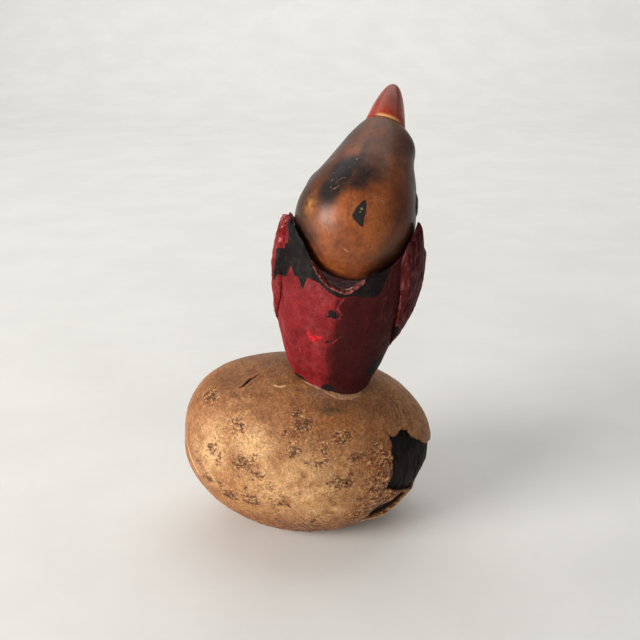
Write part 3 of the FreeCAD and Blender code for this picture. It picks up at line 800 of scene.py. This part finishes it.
def make_nut_skin():
    """The tan skin: a closed, thin shell with a chip, a slit, a crack and pits."""
    directions, faces = sphere_directions(8)
    outer = out_of(nut_points(directions, 0.0), NUT)
    hole = opening(outer)
    kept = faces[(hole[faces] < 0).sum(axis=1) >= 2]
    pairs, counts = np.unique(np.sort(edges_of(kept), axis=1), axis=0, return_counts=True)
    borders = pairs[counts == 1]
    outer = snapped(outer, np.unique(borders))
    own = into(outer, NUT)
    fields = nut_fields(own, outer)
    away = own / np.array([NUT_LENGTHS[0], NUT_DEPTH, NUT_HEIGHTS[0]]) ** 2
    away /= np.linalg.norm(away, axis=1)[:, None]
    top = out_of(own + away * skin_lift(own, outer, fields)[:, None], NUT)
    inner = out_of(own - away * (SKIN_THICKNESS - SKIN_GAP), NUT)
    points, skin_faces, used = closed_skin(top, inner, kept, borders)
    doubled = {name: np.concatenate([values, values])[used] for name, values in fields.items()}
    broken = np.repeat([-1.0, 1.0], len(outer))[used]
    for name in ("clusters", "hole", "crack", "crack_edge", "purple", "flecks"):
        doubled[name] = np.where(broken > 0, -1.0, doubled[name])
    doubled["broken"] = broken
    make_piece("nut_skin", points, skin_faces, "base", nut_skin_finish(), doubled)


def make_nut_shell():
    """The dark shell under the skin, striated where it shows in the chip, round a hollow."""
    directions, faces = sphere_directions(7)
    own = nut_points(directions, SHELL_INSET)
    flat, towards = chip_plane(out_of(own, NUT))
    shows = step(-1.5, 1.0, inside(flat, CHIP_OUTLINE)) * (towards > -8)
    grooves = noise(own * (1, 1, 0.16), 0.9, 41) + 0.6 * noise(own * (1, 1, 0.2), 0.45, 42)
    lift = np.minimum(0, shows * (0.3 * grooves - 0.35 + 0.15 * step(0.0, 9.0, flat[:, 0])))
    away = directions * np.array([0.7, 1, 1])
    away /= np.linalg.norm(away, axis=1)[:, None]
    outside = out_of(own + away * lift[:, None], NUT)
    outside[:, 2] = np.maximum(outside[:, 2], 0.0)
    hollow = out_of(directions * (HOLLOW_LENGTH, HOLLOW_RADIUS, HOLLOW_RADIUS), NUT)
    shell_faces = faces.tolist() + (faces[:, ::-1] + len(outside)).tolist()
    make_piece("nut_shell", np.vstack([outside, hollow]), shell_faces, "base", nut_shell_finish())


# ---- torso ----
def torso_surface(angle, height):
    """Reach and sideways shift of the torso's plain outside, round from the back and up."""
    stations = np.array(TORSO_STATIONS)
    shift, half_width, half_depth = (curve(height, stations[:, [0, k]]) for k in (1, 2, 3))
    s, c = np.sin(angle), np.cos(angle)
    across = np.abs(s / half_width) ** TORSO_POWER + np.abs(c / half_depth) ** TORSO_POWER
    reach = across ** (-1 / TORSO_POWER)
    return reach, shift


def outside_at(angle, height):
    """The torso's outside as ring() takes it."""
    reach, shift = torso_surface(angle, height)
    return reach, height, shift


def onto_the_nut(point, height, share, times):
    """Points in the figure's seat moved up or down until they stand height over the nut."""
    for _ in range(times):
        own = into(out_of(point, FIGURE), NUT)
        point[:, 2] -= share * (own[:, 2] - nut_top(own[:, 0], own[:, 1]) - height)
    return point


def foot_height(angle):
    """The height, on the torso's outside, at which each angle meets the nut."""
    height = np.zeros(len(angle))
    for _ in range(12):
        height = onto_the_nut(ring(angle, *outside_at(angle, height)), 0.0, 0.8, 1)[:, 2]
    return height


def carving(points):
    """Facets, tool marks and lumps in the carved and painted wood."""
    lumps = 0.22 * noise(points * (1, 1, 0.55), 4.5, 51)
    return lumps + 0.07 * noise(points * (1, 1, 0.3), 1.1, 53) + 0.04 * rough(points, 0.6, 54, 2)


def hump(angle, centre, spread):
    """1 at an angle round, in degrees, falling off to both sides."""
    return np.exp(-((np.degrees(angle) - centre) / spread) ** 2)


MARKS = {    # sideways and height, seen from behind
    "chips": [
        [(-0.9, 18.0), (-0.2, 18.6), (0.9, 18.4), (1.3, 17.6), (1.2, 16.7), (0.2, 16.9), (-1.0, 16.8),
         (-0.6, 17.4)],
        [(-0.5, 11.5), (0.3, 11.4), (0.2, 10.9), (-0.6, 10.9)],
        [(10.6, 7.4), (9.6, 6.4), (8.7, 5.2), (8.0, 3.0), (8.0, 1.8), (9.4, 1.4), (11.4, 2.4), (12.0, 7.2)],
        [(-7.4, -0.3), (-5.8, -0.4), (-4.6, -1.3), (-5.0, -3.0), (-7.6, -2.0)],
        [(-0.8, -1.0), (0.2, -0.6), (1.7, -1.1), (2.2, -3.2), (-1.4, -3.0)],
        [(2.0, -1.9), (4.2, -2.3), (4.6, -3.6), (2.0, -3.4)],
    ],
    "tick": [
        [(-5.3, 13.0), (-4.9, 12.4), (-4.3, 11.6), (-3.2, 11.9), (-1.5, 12.2), (-2.0, 11.2), (-2.8, 9.9),
         (-3.7, 10.4), (-4.6, 11.2), (-5.1, 12.0)],
    ],
}
SCRATCH_LINES = [
    [(1.2, 18.9), (2.0, 17.8), (1.7, 16.7)],
    [(1.0, 18.6), (1.2, 19.8), (2.3, 21.6)],
    [(0.8, 11.0), (1.4, 11.6), (2.3, 12.7)],
    [(-4.0, 17.2), (-3.4, 16.4)],
    [(-6.6, 9.0), (-6.2, 6.5)],
]


def painted(own):
    """Paint boundaries shared by the torso and the wings, in the figure's frame."""
    seen = own[:, [0, 2]]
    front = own[:, 2] - 23.0 + 1.6 * np.abs((own[:, 0] / 3.4) % 2 - 1)
    return np.where(own[:, 1] < 1.0, inside(seen, MANTLE_OUTLINE), front)


def torso_fields(own, past_rim, angle):
    """What the paint needs to know at each point of the torso."""
    behind = 6.0 * step(-4.0, 1.0, own[:, 1])
    seen = own[:, [0, 2]]
    fields = {name: together(inside(seen, outline) for outline in outlines) - behind
              for name, outlines in MARKS.items()}
    fields["scratches"] = 0.14 - from_lines(seen, SCRATCH_LINES) - behind
    fields = {name: np.where(past_rim < 0, values, OFF) for name, values in fields.items()}
    fields["mantle"] = painted(own)
    # painted shade: past a ridge line on the back, the right side is marked to be painted darker
    ridge = 0.07 * own[:, 2] - 1.0
    past_ridge = own[:, 0] - ridge + 0.6 * noise(own, 3.0, 57)
    fields["right_painted_shade"] = step(-1.0, 2.6, past_ridge) * step(6.0, -1.0, own[:, 1])
    right_edge = step(8.6, 10.2, own[:, 0]) * step(14, 20, own[:, 2])
    fields["scuffed"] = 0.12 * step(18, 24, own[:, 2]) + 0.8 * right_edge
    degrees = np.degrees(angle)
    black_rim = step(-26, -31, degrees) + step(24, 30, degrees)
    fields["rim"] = np.minimum(past_rim + 0.35, RIM_WIDTH + 0.2 - past_rim) - 2.0 * black_rim
    # painted light: where the bowl's inside gets its paler, lit-looking pink
    fields["bowl"] = past_rim - RIM_WIDTH * 0.8 - 4.0 * black_rim
    # painted shadow: the band just inside the rim on the left that is painted near-black
    left = (degrees > -44) & (degrees < -12)
    fields["gap"] = np.where(left, 1.0 - np.abs(past_rim - RIM_WIDTH - 0.9), OFF)
    return fields


def torso_foot(angle, foot, rows):
    """The peg's bore, then the sole that sits on the nut; rows holds (points, distance past the rim)."""
    bore_rows, sole_rows = 8, 16
    for k in range(bore_rows):
        height = PEG_TOP - 0.1 + (foot - PEG_TOP) * k / bore_rows
        rows.append((ring(angle, PEG_RADIUS, height), FAR_OUTSIDE))
    reach, shift = torso_surface(angle, foot)
    for k in range(sole_rows):
        share = k / sole_rows
        point = ring(angle, PEG_RADIUS + (reach - PEG_RADIUS) * share, foot, shift * share)
        rows.append((onto_the_nut(point, FOOT_GAP, 1.0, 4), FAR_OUTSIDE))


def torso_sides(angle, foot, rim, rows):
    """The carved outside, with a keel at the back and a corner at the left of the foot."""
    side_rows = 150
    keel = 0.9 * np.clip(1 - np.abs(np.degrees(angle) - 2) / 24, 0, 1)
    corner = 1.5 * hump(angle, -64, 22)
    bulge = 0.95 * hump(angle, -44, 20)
    for k in range(side_rows):
        height = foot + (rim - foot) * k / (side_rows - 1)
        reach, shift = torso_surface(angle, height)
        point = ring(angle, reach, height, shift)
        carved = carving(point) + keel * step(-2, 3, height) * step(24, 19, height)
        lift = carved * step(0.0, 0.05, k / side_rows)
        lift = lift + corner * step(8, 0, height) + bulge * step(26, 31, height)
        point[:, :2] += (lift / reach)[:, None] * point[:, :2]
        rows.append((point, height - rim - 0.01))


def torso_seat(edge, rim, rows):
    """The rough rim, narrow where the nodding head needs the room, and the bowl that it sits in."""
    rim_rows, bowl_rows = 8, 60
    edge_reach = np.hypot(edge[:, 0], edge[:, 1])
    cleared = np.sqrt(NOD_CLEARANCE ** 2 - np.minimum(HEAD_CENTRE[2] - rim, NOD_CLEARANCE) ** 2)
    from_head = np.hypot(edge[:, 0] - HEAD_CENTRE[0], np.abs(edge[:, 1] - HEAD_CENTRE[1]) - 0.7)
    width = np.clip(from_head - cleared, 0.25, RIM_WIDTH)
    for k in range(1, rim_rows):
        share = k / rim_rows
        point = edge.copy()
        point[:, :2] *= (1 - share * width / edge_reach)[:, None]
        point[:, 2] += 0.12 * math.sin(math.pi * share) + 0.1 * noise(point, 0.5, 63)
        rows.append((point, width * share))
    inner = edge_reach - width
    bowl_reach = inner / np.sqrt(1 - ((BOWL_TOP - rim) / BOWL_DEPTH) ** 2)
    for k in range(bowl_rows):
        share = 1 - (k / bowl_rows)
        reach = inner * share
        height = BOWL_TOP - BOWL_DEPTH * np.sqrt(1 - (reach / bowl_reach) ** 2)
        point = np.stack([reach * edge[:, 0] / edge_reach, reach * edge[:, 1] / edge_reach, height], axis=-1)
        point[:, 2] -= (0.25 * noise(point, 2.2, 64) + 0.1 * noise(point, 0.7, 65)) * step(0, 0.1, 1 - share)
        rows.append((point, width + (inner - reach)))


def make_torso():
    """The carved body, one closed skin from the peg's bore round the outside and into the seat."""
    columns = 420
    angle = round_trip(columns)
    around = circle(angle, 10)
    foot = foot_height(angle) + FOOT_GAP
    rim = curve(np.degrees(angle), RIM) + 0.3 * noise(around, 1.1, 61) + 0.16 * noise(around, 0.4, 62)
    rows = []
    torso_foot(angle, foot, rows)
    torso_sides(angle, foot, rim, rows)
    torso_seat(rows[-1][0], rim, rows)
    grid = np.array([point for point, _ in rows])
    past = [np.broadcast_to(distance, columns) for _, distance in rows]
    past = np.concatenate(past + [[FAR_OUTSIDE, -FAR_OUTSIDE]])
    points = with_ends(grid, (0, 0, PEG_TOP), grid[-1].mean(axis=0))
    fields = torso_fields(points, past, all_round(angle, rows))
    make_piece("torso", points, ring_faces(len(rows), columns), "base", torso_finish("torso"), fields, FIGURE)


def against_head(own, outward, side):
    """A wing's points with its inner face near the top brought close to the nodding head."""
    aside = np.maximum(0, np.abs(own[:, 1] - HEAD_CENTRE[1]) - 1.7)
    under = np.maximum(0, np.abs(own[:, 2] - HEAD_CENTRE[2]) - 1.0)
    limit = np.sqrt(np.maximum(1.0, WING_CLEARANCE ** 2 - aside ** 2 - under ** 2))
    limit = limit + HEAD_CENTRE[0] * side + 0.1
    width = own[:, 0] * side
    share = step(0.3, -0.4, outward) * step(23, 28, own[:, 2])
    width = width + (np.minimum(width, limit) - width) * share
    near = step(2, -3, own[:, 1])
    moved = own.copy()
    moved[:, 2] += (1.5 * near - 3.0 * (1 - near)) * step(29, 35, own[:, 2])
    moved[:, 0] = side * np.maximum(width, limit - 9.0 * step(27, 25, own[:, 2]))
    return moved


GLUE_PROFILE = [(-0.9, -0.3), (-0.7, 0.3), (0.0, 0.42), (0.3, 0.3), (0.65, 0.16), (1.0, 0.0), (0.7, -0.3)]


def make_glue():
    """A thin, uneven bead of dried glue round the torso's foot."""
    columns = 300
    angle = round_trip(columns)
    around = circle(angle, 8)
    foot = foot_height(angle)
    reach, shift = torso_surface(angle, foot)
    front = hump(angle, 35, 30)
    spread = 0.5 + 0.3 * noise(around, 3.0, 101) + 0.25 * noise(around, 1.0, 102) + 0.4 * front
    spread = np.clip(spread, 0.2, 2.0)
    rows = []
    for across, over in GLUE_PROFILE:
        wide = across * spread if across > 0 else across
        point = onto_the_nut(ring(angle, reach + wide, foot, shift), 0.0, 0.8, 6)
        point[:, 2] += over * (0.7 + 0.4 * noise(around, 1.3, 103))
        rows.append(point)
    faces = ring_faces(len(rows), columns, False, False)
    last = (len(rows) - 1) * columns
    faces += [(last + c, last + (c + 1) % columns, (c + 1) % columns, c) for c in range(columns)]
    fields = {"pale": np.tile(front, len(rows))}
    points = np.concatenate(rows)
    make_piece("glue_fillet", points, faces, "base", glue_finish(), fields, FIGURE, "glue_visual")


def make_wing(side):
    """A carved wing, gouged with long strokes, from the CAD wing's form."""
    node = {-1: "left_wing", 1: "right_wing"}[side]
    points, normals, faces = remeshed(node, 0.2, 4)
    own = into(points, FIGURE)
    outward = (normals @ FIGURE[0])[:, 0] * side
    gouge = 1 - np.abs(noise(own * (1, 1, 0.22), 1.3, 71))
    lift = -0.35 * gouge ** 3 * (0.35 + 0.65 * step(0.1, 0.6, outward))
    lift += 0.1 * noise(own * (1, 1, 0.3), 0.55, 72)
    lift += 0.12 * rough(own, 1.6, 73) + 0.05 * noise(own, 0.35, 74)
    carved = against_head(into(points + normals * lift[:, None], FIGURE), outward, side)
    fields = {name: np.full(len(own), OFF) for name in ("chips", "tick", "scratches", "bowl", "rim", "gap")}
    fields["mantle"] = painted(own)
    # painted shade: the whole right wing is marked to be painted darker, the left wing not
    fields["right_painted_shade"] = np.full(len(own), 0.9 if side > 0 else 0.0)
    if side > 0:
        fields["mantle"] = np.minimum(fields["mantle"], 10.4 - own[:, 0])
        fields["chips"] = inside(own[:, [0, 2]], [(12.3, 15.0), (13.6, 15.2), (13.2, 12.0), (12.2, 12.4)])
    start = 12 if side > 0 else 25
    fields["scuffed"] = step(start, start + 5, own[:, 2] + noise(own, 3.0, 77)) * 0.9 + 0.1
    make_piece(node, carved, faces, "base", torso_finish(node), fields, FIGURE)


# ---- head ----
def gourd_profile(share):
    """Along and radius of the gourd's outside: share 0 at the round pole to 1 at the mouth."""
    bend = np.linspace(-math.pi / 2, 0, 9)
    dome = HEAD_RADIUS * np.column_stack([np.sin(bend), np.cos(bend)])
    along, radius = np.vstack([dome, HEAD_STATIONS]).T
    run = np.concatenate([[0], np.cumsum(np.hypot(np.diff(along), np.diff(radius)))])
    run /= run[-1]
    along, radius = (curve(share, np.column_stack([run, values])) for values in (along, radius))
    return along, np.maximum(0, radius)


def gourd_swell(angle, along):
    """The gourd isn't quite round: how far it stands out of the turned form."""
    right = hump(angle, 85, 40)
    swell = 1.25 * right * np.exp(-((along - 19.7) / 3.6) ** 2)
    swell -= 0.9 * hump(angle, -72, 36) * np.exp(-((along - 9.5) / 7.0) ** 2)
    return swell - 0.4 * right * np.exp(-((along - 6.0) / 4.0) ** 2)


HEAD_SMUDGES = [    # along, degrees round, reach along and round in mm, strength
    (4.2, -20, 6.4, 4.6, 1.0), (0.8, -24, 5.2, 3.8, 0.95), (7.0, -12, 3.4, 4.2, 0.9),
    (6.0, 1, 3.6, 5.6, 0.78), (3.6, -4, 3.4, 4.2, 0.78), (11.0, -8, 5.0, 1.4, 0.5),
    (9.0, 6, 4.0, 5.0, 0.4),
]
MARK_OUTLINE = [    # round and along, in mm
    (2.2, -0.1), (2.8, -1.2), (3.1, -2.6), (3.2, -4.2), (3.7, -5.4), (2.6, -5.3), (1.0, -4.5), (0.6, -4.0),
    (0.9, -2.6), (1.5, -1.0),
]
HEAD_FLECKS = [    # along, degrees round, radius
    (8.4, -11, 0.18), (0.8, 25, 0.22), (0.5, 27, 0.16), (-2.2, 9.5, 0.24), (-2.9, 9.0, 0.14),
    (2.5, -26, 0.14),
]
HEAD_SCRATCHES = [
    [(-4.6, 2.0), (-3.8, 3.2), (-3.0, 3.4)],
    [(-5.4, 0.8), (-4.6, 0.4), (-3.6, 1.4)],
    [(0.6, -9.6), (1.8, -9.9), (3.0, -9.8)],
    [(4.6, 0.6), (5.2, 1.4), (6.0, 1.2)],
]


def gourd_fields(angle, along):
    """What the gourd's finish needs to know, from a map of its outside: round and along, in millimetres."""
    degrees = np.degrees(angle)
    to_arc = math.radians(1) * MAP_RADIUS
    arc = degrees * to_arc
    flat = np.column_stack([arc, along])
    fields = {"mark": inside(flat, MARK_OUTLINE), "lip": along - HEAD_MOUTH + 0.35}
    fields["smudge"] = together(
        strength * (1 - step(0.2, 1.25, np.hypot((along - centre) / reach, (arc - at * to_arc) / width)))
        for centre, at, reach, width, strength in HEAD_SMUDGES)
    fields["flecks"] = together(r - np.hypot(along - s, arc - at * to_arc) for s, at, r in HEAD_FLECKS)
    fields["scratches"] = 0.1 - from_lines(flat, HEAD_SCRATCHES)
    fields["dark"] = step(5.0, 17.0, along + 2.0 * noise(flat @ np.eye(2, 3), 5.0, 81)) * 0.65
    # painted shade: the left and right sides are darkened, apart from the round end
    right = 0.85 * step(28, 75, degrees) * step(150, 110, degrees)
    left = 0.9 * step(-14, -58, degrees) * step(-150, -110, degrees)
    fields["painted_side_shade"] = (right + left) * step(-12.6, -8.5, along)
    # painted highlight: a soft spot on the left of the round end, next to where the lamp's highlight falls
    fields["painted_highlight"] = np.exp(-((along + 3.0) / 2.2) ** 2 - ((arc + 9.6) / 1.6) ** 2)
    return fields


def make_head_gourd():
    """The teardrop gourd: outside from the round pole to the mouth, bore for the beak, then hollow."""
    columns = 360
    angle = round_trip(columns)
    rows = []
    for s, r in zip(*gourd_profile(np.linspace(0.004, 1.0, 240))):
        point = ring(angle, r + gourd_swell(angle, s) * min(1.0, r / 6), s)
        point *= (1 + (0.09 * noise(point, 5.0, 85) + 0.02 * noise(point, 1.5, 86)) / HEAD_RADIUS)[:, None]
        rows.append((point, s))
    pole, mouth = rows[0][1], rows[-1][0]
    mouth_reach = np.hypot(mouth[:, 0], mouth[:, 1])
    for share in (0.25, 0.6, 1.0):
        point = mouth.copy()
        point[:, :2] *= (1 - share * (1 - BORE_RADIUS / mouth_reach))[:, None]
        rows.append((point, HEAD_MOUTH))
    for s in (21.0, 19.2, 17.6):
        rows.append((ring(angle, BORE_RADIUS, s), UNSEEN))
    floor = HEAD_WALL - HEAD_RADIUS
    for s, r in zip(*gourd_profile(np.linspace(0.76, 0.01, 60))):
        rows.append((ring(angle, max(0.05, r - HEAD_WALL), max(s, floor) if r > 3 else floor), UNSEEN))
    points = with_ends(np.array([point for point, _ in rows]), (0, 0, pole), (0, 0, floor))
    lengths = np.concatenate([np.repeat([length for _, length in rows], columns), [pole, UNSEEN]])
    fields = gourd_fields(all_round(angle, rows), lengths)
    make_piece("head_gourd", points, ring_faces(len(rows), columns), "head", gourd_finish(), fields, HEAD)


def make_beak():
    """A horn-like beak on a round tenon."""
    columns = 96
    angle = round_trip(columns)
    tenon = BORE_RADIUS - TENON_GAP
    stations = [(tenon, -5.4), (tenon, -2.5), (tenon, -0.6), (3.9, -0.45), (4.35, -0.1)]
    for share in np.linspace(1.0, 0.02, 60):
        stations.append((BEAK_RADIUS * share, BEAK_LENGTH * (1 - share ** BEAK_POWER)))
    rows = []
    for r, h in stations:
        point = ring(angle, r, HEAD_MOUTH + h, -math.tan(math.radians(BEAK_BEND)) * max(0.0, h))
        lump = 0.06 * noise(point, 3.0, 91) * min(1.0, r / 2)
        rows.append(point + ring(angle, lump, 0.0))
    grid = np.array(rows)
    points = with_ends(grid, grid[0].mean(axis=0), grid[-1].mean(axis=0) + (0, 0, 0.01))
    degrees = np.degrees(all_round(angle, rows))
    along = points[:, 2] - HEAD_MOUTH
    fields = {"along": along, "cream": step(-35, -10, degrees) * step(60, 25, degrees)}
    # painted reflection: where the right side of the beak is painted paler
    fields["pale"] = step(25, 75, degrees) * step(150, 110, degrees) * step(0.8, 3.0, along)
    make_piece("beak", points, ring_faces(len(rows), columns), "head", beak_finish(), fields, HEAD)


def gourd_place(angle, along):
    """The point of the gourd's outside at an angle round and a length along."""
    s, r = gourd_profile(np.linspace(0.004, 1.0, 400))
    return ring(angle, np.interp(along, s, r) + gourd_swell(angle, along), along)


def make_eye(side):
    """An uneven dab of black paint on the gourd's side, domed, with its edge let into the gourd."""
    node = {-1: "left_eye", 1: "right_eye"}[side]
    columns, rings = 48, 14
    around = np.linspace(0, 2 * math.pi, columns, endpoint=False)
    uneven = 1 + 0.1 * np.sin(2 * around + side) + 0.06 * np.sin(3 * around + 2 * side)
    rows = []
    for layer in ("under", "over"):
        for k in range(rings):
            share = (k + 1) / rings if layer == "under" else 1 - k / rings
            along = EYE_ALONG + EYE_HALF_LENGTH * share * uneven * np.cos(around)
            sideways = EYE_HALF_WIDTH * share * uneven * np.sin(around)
            angle = side * math.radians(EYE_ROUND) + sideways / HEAD_RADIUS
            point = gourd_place(angle, along)
            lift = -0.12 if layer == "under" else EYE_PROUD * (1 - share ** 4) + 0.03 * noise(point, 0.6, 95)
            away = point * (1, 1, 0) / np.hypot(point[:, 0], point[:, 1])[:, None]
            rows.append(point + away * np.reshape(lift, (-1, 1)))
    grid = np.array(rows)
    if side > 0:
        grid = grid[:, ::-1]
    points = with_ends(grid, grid[0].mean(axis=0), grid[-1].mean(axis=0))
    finish = plain_finish(node, (44, 38, 36), (16, 12, 12), 0.8, 0.22, 0.03)
    make_piece(node, points, ring_faces(len(rows), columns), "head", finish, None, HEAD)


# ---- CAD pieces that keep their form, the stage, lights and camera ----
KEPT_FINISHES = {    # light, dark, grain size, roughness, relief, stretch, metal
    "foot_peg": ((190, 150, 104), (142, 98, 60), 0.5, 0.6, 0.08, (1, 1, 6), 0.0),
    "neck_axle": ((150, 146, 140), (92, 84, 76), 0.6, 0.3, 0.02, (5, 1, 1), 0.9),
    "counterweight": ((118, 118, 122), (72, 72, 78), 1.6, 0.5, 0.08, (1, 1, 1), 0.8),
}
for place in ("left", "middle", "right"):
    KEPT_FINISHES["rattle_seeds_" + place] = ((112, 74, 44), (62, 36, 22), 0.8, 0.45, 0.06, (1, 1, 1), 0.0)


def finish_kept_nodes():
    for node, look in KEPT_FINISHES.items():
        finish = plain_finish(node, *look)
        for slot in frame["nodes"][node].material_slots:
            slot.material = finish


def make_stage():
    """A pale floor that sweeps up into a pale backdrop."""
    sweep, reach, width = 0.5, 1.2, 2.4
    profile = [(-1.6, 0.0), (reach - sweep, 0.0)]
    for k in range(1, 25):
        a = k / 24 * math.pi / 2
        profile.append((reach - sweep + sweep * math.sin(a), sweep - sweep * math.cos(a)))
    profile.append((reach, 1.6))
    points = [(side * width, y, z - 0.0001) for y, z in profile for side in (-1, 1)]
    faces = [(2 * k, 2 * k + 1, 2 * k + 3, 2 * k + 2) for k in range(len(profile) - 1)]
    mesh = bpy.data.meshes.new("floor")
    mesh.from_pydata(points, [], faces)
    mesh.polygons.foreach_set("use_smooth", np.ones(len(mesh.polygons), bool))
    floor = bpy.data.objects.new("floor", mesh)
    bpy.context.scene.collection.objects.link(floor)
    floor.data.materials.append(plain_finish("floor", (228, 226, 221), (223, 221, 216), 40.0, 0.7, 0.0))


LIT_PLACE = np.array([0.004, 0, 0.05])


def add_light(name, direction, distance, size, power, tint, aim=None):
    """A square lamp, distance off in a direction from the object, in metres and watts."""
    light = bpy.data.lights.new(name, "AREA")
    light.shape = "SQUARE"
    light.size = size
    light.energy = power
    light.color = tint
    lamp = bpy.data.objects.new(name, light)
    bpy.context.scene.collection.objects.link(lamp)
    away = np.array(direction) / np.linalg.norm(direction)
    lamp.location = LIT_PLACE + away * distance
    lamp.rotation_euler = look_at(lamp.location, LIT_PLACE if aim is None else aim)


def look_at(place, target):
    return (Vector(target) - Vector(place)).to_track_quat("-Z", "Y").to_euler()


def make_lights():
    add_light("window", (-0.82, -0.52, 0.27), 0.7, 0.36, 6.8, (1.0, 0.98, 0.95))
    add_light("front", (0.1, -1.0, 0.55), 1.1, 0.9, 1.5, (1.0, 0.98, 0.96))
    add_light("fill", (0.8, -0.6, 0.5), 1.2, 1.0, 0.4, (0.95, 0.97, 1.0))
    add_light("backdrop", (0.0, 0.6, 1.0), 1.1, 1.2, 9.0, (1.0, 1.0, 1.0), (0.0, 1.15, 0.2))
    world = bpy.data.worlds.new("room")
    world.use_nodes = True
    background = world.node_tree.nodes["Background"]
    background.inputs["Color"].default_value = (0.9, 0.93, 1.0, 1.0)
    background.inputs["Strength"].default_value = 0.17
    bpy.context.scene.world = world


def make_camera():
    """Behind the bird, 20 degrees above level, 200 mm from the middle of the object."""
    target = np.array([3.1, 0.0, 49.9]) * MM
    pitch, distance = math.radians(20.0), 200.0 * MM
    camera = bpy.data.cameras.new("camera")
    camera.lens = 50.0
    camera.sensor_width = 36.0
    camera.clip_start = 0.01
    eye = bpy.data.objects.new("camera", camera)
    bpy.context.scene.collection.objects.link(eye)
    eye.location = target + distance * np.array([0, -math.cos(pitch), math.sin(pitch)])
    eye.rotation_euler = (math.pi / 2 - pitch, 0, 0)
    bpy.context.scene.camera = eye
    bpy.context.scene.view_settings.view_transform = "Standard"


make_nut_skin()
make_nut_shell()
make_torso()
make_glue()
make_wing(-1)
make_wing(1)
make_head_gourd()
make_beak()
make_eye(-1)
make_eye(1)
finish_kept_nodes()
make_stage()
make_lights()
make_camera()
